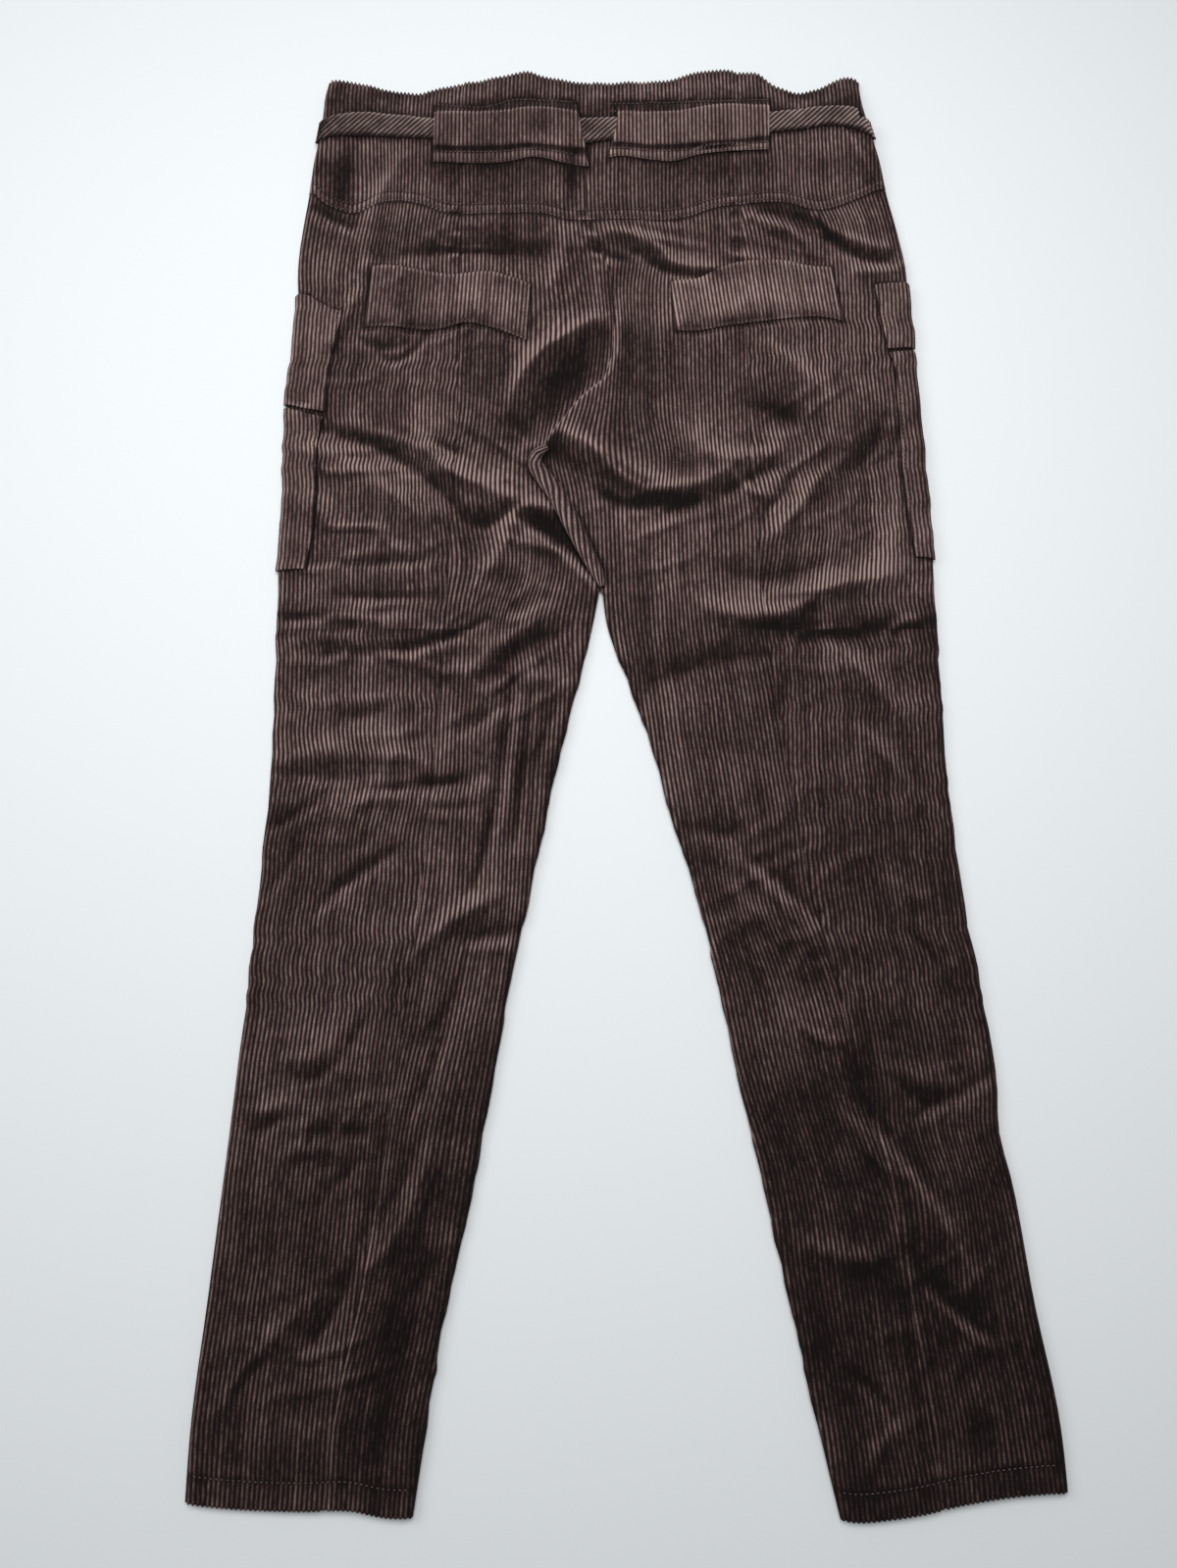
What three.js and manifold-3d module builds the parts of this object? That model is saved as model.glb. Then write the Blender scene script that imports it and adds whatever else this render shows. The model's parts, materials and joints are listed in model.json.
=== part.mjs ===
// Wide-leg corduroy trousers with a tie belt, laid flat on their front with the back up.
// Millimetres, +Z up, +Y towards the waist. The origin is at the middle of the footprint,
// on the surface that the trousers lie on. In the tables y counts up from the lower hem.
import * as THREE from "three";
import { mergeVertices } from "three/addons/utils/BufferGeometryUtils.js";
import Module from "manifold-3d";

const wasm = await Module();
wasm.setup();

// Driving dimensions
const LENGTH = 1087;
const WALL = 1.6;
const YOKE_WALL = 2.0;
const HEM_WALL = 3.0;
const HEM_DEPTH = 16;
const SEAM_GAP = 0.3;
const ROLL = 6;
const LAID_FLAT = 6.6;
const CROWN = 0.4;
const DEEPEST = 3.8;
const LOOSE = 7.0;
const YOKE_STEP = 1.0;
const BELT_THICK = 2.0;
const PATCH_WALL = 1.6;
const CROTCH = 629;
const CROTCH_FADE = 30;

// Where the side patches lift the front: reach in from the side, y range, width of the fade
const PATCH_LIFT = { reach: 62, from: 590, to: 922, fade: 24 };

// Seam lines in plan. Columns: y, x.
const SEAMS = {
  outerLeft: [
    [0, -284], [60, -283], [130, -277], [263, -267], [405, -258], [513, -254], [664, -257],
    [790, -259], [870, -255], [935, -252], [1014, -244], [1063, -239], [1087, -235],
  ],
  princessLeft: [
    [0, -194], [130, -178], [263, -159], [405, -143], [560, -133], [664, -128], [830, -125],
    [965, -126], [1087, -127],
  ],
  innerLeft: [
    [0, -137], [58, -129], [130, -118], [263, -92], [405, -65], [513, -43], [603, -21], [629, -16],
  ],
  innerRight: [
    [0, 137], [58, 124], [130, 109], [263, 81], [405, 51], [513, 20], [603, -10], [629, -14],
  ],
  princessRight: [
    [0, 204], [130, 189], [205, 179], [263, 164], [405, 133], [560, 111], [700, 101], [830, 99],
    [1087, 97],
  ],
  outerRight: [
    [0, 285], [58, 282], [130, 271], [263, 255], [405, 240], [460, 236], [700, 234], [830, 230],
    [905, 226], [965, 215], [1014, 206], [1050, 199], [1087, 198],
  ],
  centre: [
    [629, -15], [669, -33], [715, -57], [739, -64], [769, -45], [787, -31], [801, -16], [819, -8],
    [846, -4], [889, -5], [924, -17], [955, -26], [1087, -22],
  ],
};

// Lines that run across. Columns: x, y.
const ACROSS = {
  hem: [[-284, 11], [-237, 5], [-177, 5], [-137, 3], [137, 1], [190, 1], [261, 14], [285, 16]],
  yokeSeam: [
    [-248, 975], [-218, 958], [-190, 969], [-174, 969], [-142, 961], [-70, 960], [-32, 952],
    [40, 954], [79, 963], [103, 967], [135, 967], [170, 956], [198, 966], [217, 976],
  ],
  tunnelBottom: [[-245, 1000], [-100, 1000], [-71, 1005], [-23, 997], [29, 1002], [66, 1007], [208, 1015]],
  stripTop: [[-245, 1011], [-92, 1011], [-73, 1013], [-27, 1008], [29, 1011], [66, 1013], [205, 1024]],
  beltBottom: [[-243, 1021], [-214, 1026], [-151, 1023], [-24, 1019], [124, 1029], [176, 1036], [203, 1029]],
  beltTop: [[-243, 1043], [-212, 1048], [-151, 1044], [-24, 1042], [124, 1050], [176, 1056], [200, 1048]],
  tunnelTop: [[-242, 1056], [-102, 1055], [-80, 1060], [-35, 1057], [57, 1059], [125, 1061], [199, 1061]],
  top: [
    [-235, 1077], [-193, 1068], [-165, 1063], [-129, 1073], [-84, 1086], [-40, 1076], [8, 1075],
    [78, 1087], [116, 1082], [130, 1070], [148, 1064], [190, 1080], [199, 1077],
  ],
};

// Folds of the cloth. Columns: from x, y, by way of x, y, to x, y, width on its left, on its
// right, height (a trough is negative).
const FOLDS = [
  [-2, 885, 6, 800, -56, 742, 8, 40, 7.5],
  [-20, 850, -45, 805, -74, 765, 14, 14, -2.6],
  [-11, 887, -50, 845, -92, 812, 12, 16, 3.5],
  [-45, 758, 10, 712, 78, 730, 14, 20, 4],
  [-50, 712, -35, 680, -18, 645, 10, 10, 3],
  [-90, 688, -47, 660, -24, 634, 14, 14, 3.5],
  [-150, 755, -110, 728, -55, 665, 16, 16, 3],
  [110, 948, 165, 950, 215, 912, 14, 14, 3],
  [-4, 940, 35, 928, 75, 898, 14, 16, 3],
  [74, 628, 135, 640, 200, 668, 22, 18, 4],
  [-175, 590, -125, 585, -60, 613, 16, 16, 3.5],
  [-245, 508, -170, 496, -100, 506, 14, 16, 3],
  [-84, 398, -112, 386, -146, 360, 16, 16, 3],
  [-115, 296, -138, 225, -168, 150, 18, 18, 3.5],
  [119, 311, 165, 236, 228, 158, 22, 14, 5],
  [70, 421, 96, 396, 114, 360, 20, 20, 3.5],
  [-262, 246, -232, 264, -198, 248, 14, 14, 3],
  [-208, 130, -222, 113, -242, 94, 16, 16, 3],
  [-182, 1030, -193, 990, -205, 972, 12, 12, 1.2],
  [182, 1030, 192, 1005, 203, 985, 12, 12, 1.2],
];

// Levels of the leg panels' cross rows, from the hem to the yoke seam
const LEG_LEVELS = [
  6, 22, 25, 60, 100, 140, 180, 220, 260, 300, 340, 380, 420, 460, 500, 540, 575, 605, 629, 650,
  672, 695, 717, 739, 762, 786, 810, 836, 862, 890, 918, 940, 962,
];

// Rows of the yokes, from their seam to the top edge. Columns: line, lift of the front.
const YOKE_ROWS = [
  ["yokeSeam", 0],
  ["tunnelBottom", 0.8],
  ["stripTop", 1.6],
  ["beltBottom", BELT_THICK + SEAM_GAP],
  ["beltTop", BELT_THICK + SEAM_GAP],
  ["tunnelTop", 1.6],
  ["top", 0.4],
];
const BELT_ROWS = [3, 4];
const TUNNEL_ROWS = [1, 5];

// Outlines in plan of what is sewn on. Columns: x, y.
const OUTLINES = {
  pocket_back_left: [
    [-197, 907], [-181, 907], [-137, 898], [-101, 900], [-71, 891], [-74, 842], [-122, 858],
    [-141, 852], [-203, 854],
  ],
  pocket_back_right: [
    [41, 894], [57, 894], [87, 907], [108, 911], [169, 906], [177, 859], [161, 862], [132, 861],
    [79, 853], [45, 847],
  ],
  side_patch_upper_left: [
    [-300, 885], [-257, 882], [-235, 873], [-221, 867], [-227, 825], [-229, 778], [-300, 789],
  ],
  side_patch_lower_left: [
    [-300, 788.7], [-229, 777.7], [-234, 737], [-235, 676], [-239, 650], [-300, 648],
  ],
  side_patch_upper_right: [[270, 892], [232, 891], [203, 888], [211, 832], [270, 838]],
  side_patch_lower_right: [[270, 837.7], [211, 831.7], [217, 792], [217, 725], [223, 661], [270, 658]],
  tunnel_back_left: [[-151, 980], [-151, 1075], [-33, 1075], [-31, 1030], [-25, 980]],
  tunnel_back_right: [[-15, 980], [3, 1075], [124, 1075], [122, 980]],
};

const COLOURS = {
  corduroy: 0x4a3a34,
  napReversed: 0x5e4a45,
  belt: 0x43342f,
};

const clamp = (value, low, high) => Math.min(high, Math.max(low, value));
const mix = (a, b, share) => a + (b - a) * share;
const smooth = (share) => {
  const s = clamp(share, 0, 1);
  return s * s * (3 - 2 * s);
};

// A line through a table's points, straight between them
function along(table, at) {
  let k = 1;
  while (k < table.length - 1 && table[k][0] < at) k += 1;
  const [a, b] = [table[k - 1], table[k]];
  return mix(a[1], b[1], clamp((at - a[0]) / (b[0] - a[0]), 0, 1));
}

// Height that one fold adds at a place
function foldHeight([x0, y0, xm, ym, x1, y1, left, right, height], x, y) {
  const steps = 10;
  let best = Infinity;
  let side = 0;
  let [px, py] = [x0, y0];
  for (let k = 1; k <= steps; k += 1) {
    const s = k / steps;
    const qx = mix(mix(x0, xm, s), mix(xm, x1, s), s);
    const qy = mix(mix(y0, ym, s), mix(ym, y1, s), s);
    const [dx, dy] = [qx - px, qy - py];
    const near = clamp(((x - px) * dx + (y - py) * dy) / (dx * dx + dy * dy), 0, 1);
    const distance = Math.hypot(x - px - dx * near, y - py - dy * near);
    if (distance < best) {
      best = distance;
      side = dx * (y - py) - dy * (x - px);
    }
    [px, py] = [qx, qy];
  }
  const width = side > 0 ? left : right;
  return height * Math.exp(-((best / width) ** 2));
}

// Height of the back's outer surface over the ground
function backHeight(x, y, isYoke) {
  const folds = FOLDS.reduce((sum, fold) => sum + foldHeight(fold, x, y), 0);
  const left = along(SEAMS.outerLeft, y);
  const right = along(SEAMS.outerRight, y);
  const middle = Math.sin((Math.PI * (x - left)) / (right - left));
  const fade = 1 - smooth((y - 940) / 40);
  const laid = LAID_FLAT + CROWN * Math.max(0, middle);
  return Math.max(DEEPEST, laid + folds * (isYoke ? Math.min(1, 0.35 + fade) : 1));
}

// How far the side patches under the front lift it off the ground
function patchLift(x, y) {
  const inFromSide = Math.min(x - along(SEAMS.outerLeft, y), along(SEAMS.outerRight, y) - x);
  const across = 1 - smooth((inFromSide - PATCH_LIFT.reach) / PATCH_LIFT.fade);
  const lengthwise = smooth((y - PATCH_LIFT.from) / PATCH_LIFT.fade) *
    (1 - smooth((y - PATCH_LIFT.to) / PATCH_LIFT.fade));
  return (PATCH_WALL + SEAM_GAP) * across * lengthwise;
}

// Columns of one half. from and to name seams; roll is the angle at which the cloth turns
// over its edge, 90 degrees being flat.
const ROLL_ANGLES = [0, 30, 60, 90];

function halfColumns(isLeft) {
  const outer = isLeft ? "outerLeft" : "outerRight";
  const princess = isLeft ? "princessLeft" : "princessRight";
  const columns = [];
  for (const angle of ROLL_ANGLES) columns.push({ edge: outer, angle, panel: "outer" });
  for (let k = 1; k <= 5; k += 1) {
    columns.push({ from: outer, to: princess, share: k / 5, angle: 90, panel: "outer" });
  }
  for (let k = 0; k <= 3; k += 1) {
    columns.push({ from: "inner", to: princess, share: 1 - k / 4, angle: 90, panel: "inner" });
  }
  for (const angle of [...ROLL_ANGLES].reverse()) {
    columns.push({ edge: "inner", angle, panel: "inner" });
  }
  return columns.map((column) => ({ ...column, isLeft }));
}

// A seam's place at a height, moved half the seam gap towards its own panel
function edgeAt(name, y, isLeft) {
  const halfGap = SEAM_GAP / 2;
  const toOutside = isLeft ? -1 : 1;
  if (name !== "inner") return along(SEAMS[name], y);
  const seam = y > CROTCH ? SEAMS.centre : SEAMS[isLeft ? "innerLeft" : "innerRight"];
  return along(seam, y) + halfGap * toOutside;
}

// Plan place of a column at a height
function columnX(column, y) {
  const { isLeft, panel } = column;
  const outward = isLeft ? -1 : 1;
  const cosine = Math.cos((column.angle * Math.PI) / 180);
  if (column.edge) {
    const inward = column.edge === "inner" ? outward : -outward;
    return edgeAt(column.edge, y, isLeft) + inward * ROLL * (1 - cosine);
  }
  const inward = column.from === "inner" ? outward : -outward;
  const start = edgeAt(column.from, y, isLeft) + inward * ROLL;
  const towardsPanel = panel === "outer" ? outward : -outward;
  const end = edgeAt(column.to, y, isLeft) + (towardsPanel * SEAM_GAP) / 2;
  return mix(start, end, column.share);
}

// Share by which an edge is rolled over to meet the other side
function rollShare(column, y) {
  if (column.edge !== "inner") return 1;
  return 1 - smooth((y - CROTCH) / CROTCH_FADE);
}

// The rows of a region, as functions that give y from x and a y to start from
const HEM_MEAN = LEG_LEVELS[0];
const SEAM_MEAN = LEG_LEVELS[LEG_LEVELS.length - 1];

function legRow(level) {
  const nearHem = (1 - smooth((level - HEM_DEPTH - HEM_MEAN) / 60)) * (level < 100 ? 1 : 0);
  const nearSeam = smooth((level - 860) / (SEAM_MEAN - 860));
  const gap = level === SEAM_MEAN ? SEAM_GAP / 2 : 0;
  return (x) =>
    level - gap + nearHem * (along(ACROSS.hem, x) - HEM_MEAN) +
    nearSeam * (along(ACROSS.yokeSeam, x) - SEAM_MEAN);
}

function yokeRow(k) {
  const [name] = YOKE_ROWS[k];
  const gap = name === "yokeSeam" ? SEAM_GAP / 2 : 0;
  return (x) => along(ACROSS[name], x) + gap;
}

// One knot of the cloth: its plan place, the heights of back and front, and the wall there
function knotAt(column, row, isYoke, yokeLift, wall) {
  let y = row(columnX(column, row(0)));
  y = row(columnX(column, y));
  const x = columnX(column, y);
  const high = backHeight(x, y, isYoke) + (isYoke ? YOKE_STEP + yokeLift : 0);
  const low = isYoke ? yokeLift : Math.max(0, high - LOOSE, patchLift(x, y));
  return { column, x, y, high, low, wall, roll: rollShare(column, y) };
}

// Grid of knots: rows from the hem up, columns from the outer edge to the inner one
function knotGrid(isLeft, isYoke) {
  const columns = halfColumns(isLeft);
  if (isYoke) {
    return YOKE_ROWS.map(([, lift], k) =>
      columns.map((column) => knotAt(column, yokeRow(k), true, lift, YOKE_WALL)));
  }
  return LEG_LEVELS.map((level) =>
    columns.map((column) => {
      const wall = level <= HEM_MEAN + HEM_DEPTH ? HEM_WALL : WALL;
      return knotAt(column, legRow(level), false, 0, wall);
    }));
}

// The front follows only what the back clears for it all around
function lowerFront(grid) {
  const lows = grid.map((row) => row.map((knot) => knot.low));
  grid.forEach((row, r) => {
    row.forEach((knot, c) => {
      const floor = patchLift(knot.x, knot.y);
      let least = Infinity;
      for (let dr = -1; dr <= 1; dr += 1) {
        for (let dc = -1; dc <= 1; dc += 1) {
          const other = lows[r + dr]?.[c + dc];
          if (other !== undefined) least = Math.min(least, other);
        }
      }
      knot.low = Math.max(floor, least);
    });
  });
  return grid;
}

// A point of the back's cloth, moved outwards from its outer surface
function backPoint({ column, x, y, high, low, roll }, outwards) {
  const angle = (column.angle * Math.PI) / 180;
  const outward = (column.isLeft ? -1 : 1) * (column.edge === "inner" ? -1 : 1);
  const seam = (high + low) / 2 + SEAM_GAP / 2;
  const rolled = seam + (high - seam + outwards) * Math.sin(angle);
  return [
    x + outward * roll * outwards * Math.cos(angle),
    y,
    mix(high + outwards, rolled, roll),
  ];
}

// A point of the front's cloth, moved outwards from its outer surface, which is downwards
function frontPoint({ column, x, y, high, low, roll }, outwards) {
  const angle = (column.angle * Math.PI) / 180;
  const outward = (column.isLeft ? -1 : 1) * (column.edge === "inner" ? -1 : 1);
  const seam = (high + low) / 2 - SEAM_GAP / 2;
  const rolled = seam - (seam - low + outwards) * Math.sin(angle);
  return [
    x + outward * roll * outwards * Math.cos(angle),
    y,
    mix(low - outwards, rolled, roll),
  ];
}

// Closed geometry from rows of [x, y, z], two layers of them
function sheet(outer, inner) {
  const rows = outer.length;
  const columns = outer[0].length;
  const points = [...outer.flat(), ...inner.flat()];
  const at = (layer, r, c) => layer * rows * columns + r * columns + c;
  const faces = [];
  for (let r = 0; r < rows - 1; r += 1) {
    for (let c = 0; c < columns - 1; c += 1) {
      faces.push([at(0, r, c), at(0, r, c + 1), at(0, r + 1, c + 1), at(0, r + 1, c)]);
      faces.push([at(1, r, c), at(1, r + 1, c), at(1, r + 1, c + 1), at(1, r, c + 1)]);
    }
  }
  const rim = (a, b) => faces.push([at(0, ...b), at(0, ...a), at(1, ...a), at(1, ...b)]);
  for (let c = 0; c < columns - 1; c += 1) {
    rim([0, c], [0, c + 1]);
    rim([rows - 1, c + 1], [rows - 1, c]);
  }
  for (let r = 0; r < rows - 1; r += 1) {
    rim([r + 1, 0], [r, 0]);
    rim([r, columns - 1], [r + 1, columns - 1]);
  }
  return solidFrom(points, faces);
}

// Geometry with its faces pointing out, from points in the tables' frame and four-sided faces
function solidFrom(points, faces) {
  const positions = points.flatMap(([x, y, z]) => [x, y - LENGTH / 2, z]);
  const index = faces.flatMap(([a, b, c, d]) => [a, b, c, a, c, d]);
  const geometry = new THREE.BufferGeometry();
  geometry.setAttribute("position", new THREE.Float32BufferAttribute(positions, 3));
  geometry.setIndex(volumeOf(points, faces) > 0 ? index : index.reverse());
  return geometry;
}

function volumeOf(points, faces) {
  const [a, b, c] = [new THREE.Vector3(), new THREE.Vector3(), new THREE.Vector3()];
  let total = 0;
  for (const [i, j, k, l] of faces) {
    for (const [p, q, r] of [[i, j, k], [i, k, l]]) {
      total += a.fromArray(points[p]).dot(b.fromArray(points[q]).cross(c.fromArray(points[r])));
    }
  }
  return total;
}

function toManifold(geometry) {
  const bare = geometry.clone();
  for (const name of ["normal", "uv"]) bare.deleteAttribute(name);
  const merged = mergeVertices(bare, 1e-4);
  return new wasm.Manifold(new wasm.Mesh({
    numProp: 3,
    vertProperties: new Float32Array(merged.attributes.position.array),
    triVerts: new Uint32Array(merged.index.array),
  }));
}

function fromManifold(solid) {
  const mesh = solid.getMesh();
  const geometry = new THREE.BufferGeometry();
  geometry.setAttribute("position", new THREE.BufferAttribute(mesh.vertProperties, 3));
  geometry.setIndex(new THREE.BufferAttribute(mesh.triVerts, 1));
  return geometry;
}

// What lies inside an outline, seen from above
function cutOut(geometry, outline) {
  const shape = new THREE.Shape(outline.map(([x, y]) => new THREE.Vector2(x, y - LENGTH / 2)));
  const prism = new THREE.ExtrudeGeometry(shape, { depth: 100, bevelEnabled: false });
  prism.translate(0, 0, -50);
  return fromManifold(toManifold(geometry).intersect(toManifold(prism)));
}

const trousers = new THREE.Group();

function addPiece(name, geometry, colour) {
  const material = new THREE.MeshStandardMaterial({ color: colour, roughness: 0.95, metalness: 0 });
  const mesh = new THREE.Mesh(geometry, material);
  mesh.name = name;
  trousers.add(mesh);
}

// A panel of the back or the front from part of a half's grid
function addPanel(name, grid, pointOf, chosen) {
  const part = grid.map((row) => row.filter((knot, c) => chosen(knot, c)));
  const outer = part.map((row) => row.map((knot) => pointOf(knot, 0)));
  const inner = part.map((row) => row.map((knot) => pointOf(knot, -knot.wall)));
  addPiece(name, sheet(outer, inner), COLOURS.corduroy);
}

// Columns that the coarser front keeps
const FRONT_COLUMNS = [0, 1, 2, 3, 5, 7, 9, 11, 13, 14, 15, 16];
const inFront = (knot, c) => FRONT_COLUMNS.includes(c);

const halves = [true, false].map((isLeft) => ({
  side: isLeft ? "left" : "right",
  legs: lowerFront(knotGrid(isLeft, false)),
  yokes: knotGrid(isLeft, true),
}));

function buildPanels() {
  for (const { side, legs, yokes } of halves) {
    const inOuter = (knot) => knot.column.panel === "outer";
    const inInner = (knot) => knot.column.panel === "inner";
    addPanel(`back_${side}_outer`, legs, backPoint, inOuter);
    addPanel(`back_${side}_inner`, legs, backPoint, inInner);
    addPanel(`front_${side}`, legs, frontPoint, inFront);
    addPanel(`yoke_back_${side}_side`, yokes, backPoint, inOuter);
    addPanel(`yoke_back_${side}_centre`, yokes, backPoint, inInner);
    addPanel(`yoke_front_${side}`, yokes, frontPoint, inFront);
  }
}

// A layer that follows the back at a distance, cut to an outline
function layerOn(rows, liftOf) {
  const inner = rows.map((row, r) => row.map((knot) => backPoint(knot, liftOf(r))));
  const outer = rows.map((row, r) => row.map((knot) => backPoint(knot, liftOf(r) + PATCH_WALL)));
  return sheet(outer, inner);
}

const within = (rows, low, high) =>
  rows.filter((row) => row.some((knot) => knot.y > low - 60 && knot.y < high + 60));

function buildPockets() {
  for (const { side, legs } of halves) {
    const name = `pocket_back_${side}`;
    const layer = layerOn(within(legs, 842, 911), () => SEAM_GAP);
    addPiece(name, cutOut(layer, OUTLINES[name]), COLOURS.napReversed);
  }
}

// The side patches lie on the back's outer panel and turn round the side onto the front
function buildSidePatches() {
  for (const { side, legs } of halves) {
    const rows = within(legs, 648, 892);
    const wrap = (outwards) => rows.map((row) => [
      ...row.filter(inFront).slice(0, 5).reverse().map((knot) => frontPoint(knot, outwards)),
      ...row.slice(0, 6).map((knot) => backPoint(knot, outwards)),
    ]);
    const layer = sheet(wrap(SEAM_GAP + PATCH_WALL), wrap(SEAM_GAP));
    for (const level of ["upper", "lower"]) {
      const name = `side_patch_${level}_${side}`;
      addPiece(name, cutOut(layer, OUTLINES[name]), COLOURS.napReversed);
    }
  }
}

// The tie belt runs all round the waist: over the back yoke and under the front one
function buildBelt() {
  const [left, right] = halves.map((half) => half.yokes);
  const stations = [];
  const addStations = (grid, pointOf, chosen) => {
    const columns = grid[0].map((knot, c) => c).filter((c) => chosen(null, c));
    const ring = columns.map((c) => {
      const [low, high] = BELT_ROWS.map((r) => grid[r][c]);
      return [
        pointOf(low, SEAM_GAP), pointOf(low, SEAM_GAP + BELT_THICK),
        pointOf(high, SEAM_GAP + BELT_THICK), pointOf(high, SEAM_GAP),
      ];
    });
    return ring;
  };
  stations.push(...addStations(left, backPoint, () => true));
  stations.push(...addStations(right, backPoint, () => true).reverse());
  stations.push(...addStations(right, frontPoint, inFront));
  stations.push(...addStations(left, frontPoint, inFront).reverse());
  const count = stations.length;
  const faces = [];
  for (let s = 0; s < count; s += 1) {
    const next = (s + 1) % count;
    for (let k = 0; k < 4; k += 1) {
      const k2 = (k + 1) % 4;
      faces.push([s * 4 + k, s * 4 + k2, next * 4 + k2, next * 4 + k]);
    }
  }
  addPiece("tie_belt", solidFrom(stations.flat(), faces), COLOURS.belt);
}

// Tunnels are sewn down below and above the belt and arch over it
function buildTunnels() {
  const [first, last] = TUNNEL_ROWS;
  const overBelt = (r) => BELT_ROWS.includes(r + first);
  const liftOf = (r) => SEAM_GAP + (overBelt(r) ? BELT_THICK + SEAM_GAP : 0);
  for (const { side, yokes } of halves) {
    const name = `tunnel_back_${side}`;
    const layer = layerOn(yokes.slice(first, last + 1), liftOf);
    addPiece(name, cutOut(layer, OUTLINES[name]), COLOURS.napReversed);
  }
}

buildPanels();
buildPockets();
buildSidePatches();
buildBelt();
buildTunnels();

export default trousers;
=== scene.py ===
"""Corduroy trousers laid flat, back side up, built as thin shells of ribbed cloth.

Sizes in this file are millimetres, and one function turns them to metres. x runs across, y counts up
from the lower hem to the waist, z up from the surface that the trousers lie on.
"""
import json
import math

import bmesh
import bpy
import numpy as np
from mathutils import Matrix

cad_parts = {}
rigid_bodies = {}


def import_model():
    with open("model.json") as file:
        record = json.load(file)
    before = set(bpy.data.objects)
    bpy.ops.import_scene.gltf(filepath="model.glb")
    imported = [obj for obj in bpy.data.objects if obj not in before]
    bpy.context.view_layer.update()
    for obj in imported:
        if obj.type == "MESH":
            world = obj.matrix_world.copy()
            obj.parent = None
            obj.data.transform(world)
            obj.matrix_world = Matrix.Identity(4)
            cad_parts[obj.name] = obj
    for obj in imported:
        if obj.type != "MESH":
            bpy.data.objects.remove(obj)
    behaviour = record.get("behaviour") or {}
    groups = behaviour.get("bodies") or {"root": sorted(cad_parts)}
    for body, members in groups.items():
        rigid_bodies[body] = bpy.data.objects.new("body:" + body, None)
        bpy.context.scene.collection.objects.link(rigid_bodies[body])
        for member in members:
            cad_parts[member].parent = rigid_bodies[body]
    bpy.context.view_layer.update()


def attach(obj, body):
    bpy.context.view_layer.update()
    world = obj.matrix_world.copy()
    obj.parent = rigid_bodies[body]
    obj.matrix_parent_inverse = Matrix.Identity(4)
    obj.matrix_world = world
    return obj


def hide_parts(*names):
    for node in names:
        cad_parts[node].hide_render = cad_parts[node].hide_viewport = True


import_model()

# Driving sizes
LENGTH = 1087.0
RIB = 3.175                 # 8 ribs to the inch
RIB_HEIGHT = 1.0
STEPS_PER_RIB = 4
WALL = 1.6
YOKE_WALL = 2.0
HEM_WALL = 3.0
HEM_DEPTH = 16.0
SEAM_GAP = 0.1
ROLL = 6.0                  # width over which the cloth turns at a side
LAID_FLAT = 6.6             # height of the back over the surface
CROWN = 0.5
DEEPEST = 3.8
LOOSE = 7.0                 # the front stays on the surface up to this height of the back
YOKE_STEP = 1.0
BELT_THICK = 2.0
PATCH_WALL = 1.6
CROTCH = 629.0
CROTCH_FADE = 26.0

# The photo's camera: a phone's main lens, tilted a little towards the hems
CAMERA_HEIGHT = 837.8
CAMERA_PLACE = (-24.5, -230.0)
CAMERA_TILT = math.radians(11.5)
FOCAL_SHARE = 1201 / 1599   # focal length over the long side of the frame

# Seam lines in plan. Columns: y, x.
SEAMS = {
    "outer_left": [
        (0, -284), (60, -283), (130, -277.5), (263, -267.5), (405, -258.5), (513, -254.5),
        (590, -256), (640, -256.5), (664, -255.5), (730, -256.7), (790, -257.2), (830, -254.8),
        (870, -253.5), (890, -254.5),
        (935, -252.5), (965, -249), (990, -246.5), (1014, -243), (1035, -240.5), (1063, -239),
        (1087, -235),
    ],
    "princess_left": [
        (0, -194), (58, -191), (130, -178), (205, -166), (263, -159), (343, -149), (405, -143),
        (560, -133), (664, -128.5), (830, -125.5), (965, -126.5), (1087, -127.5),
    ],
    "inner_left": [
        (0, -137.5), (58, -129.5), (130, -118.5), (205, -102.5), (263, -92.5), (343, -78.5),
        (405, -65.5), (460, -54.5), (513, -43.5), (560, -31.5), (603, -21.5), (629, -16.5),
    ],
    "inner_right": [
        (0, 137.5), (58, 124.5), (130, 109.5), (205, 93.5), (263, 81.5), (343, 65.5), (405, 51.5),
        (460, 34.5), (513, 20.5), (560, 4.5), (603, -10.5), (629, -14),
    ],
    "princess_right": [
        (0, 204.5), (58, 198.5), (130, 189.5), (205, 179.5), (263, 164.5), (343, 148.5),
        (405, 133.5), (460, 124.5), (560, 111.5), (700, 101.5), (830, 99.5), (965, 97.5),
        (1087, 97.5),
    ],
    "outer_right": [
        (0, 284.5), (58, 282.5), (130, 271.5), (205, 262.5), (250, 255), (263, 256), (343, 248.5),
        (405, 240.5), (460, 236.5), (560, 234.5), (626, 234), (650, 234), (700, 232.4), (790, 229.4),
        (835, 229), (880, 226.6), (892, 227), (905, 226), (935, 221.5), (965, 215.5), (990, 211.5),
        (1014, 206.5), (1035, 201.5), (1050, 198.5), (1087, 198.5),
    ],
    "centre": [
        (629, -15), (646, -22.5), (669, -33.5), (691, -44.5), (715, -57.5), (733, -65),
        (741, -64), (754, -56.5), (769, -45.5), (787, -31.5), (801, -15.5), (819, -8),
        (846, -4.5), (889, -5.5), (905, -10), (924, -17.5), (955, -26.5), (1000, -24),
        (1087, -22.5),
    ],
}

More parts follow.
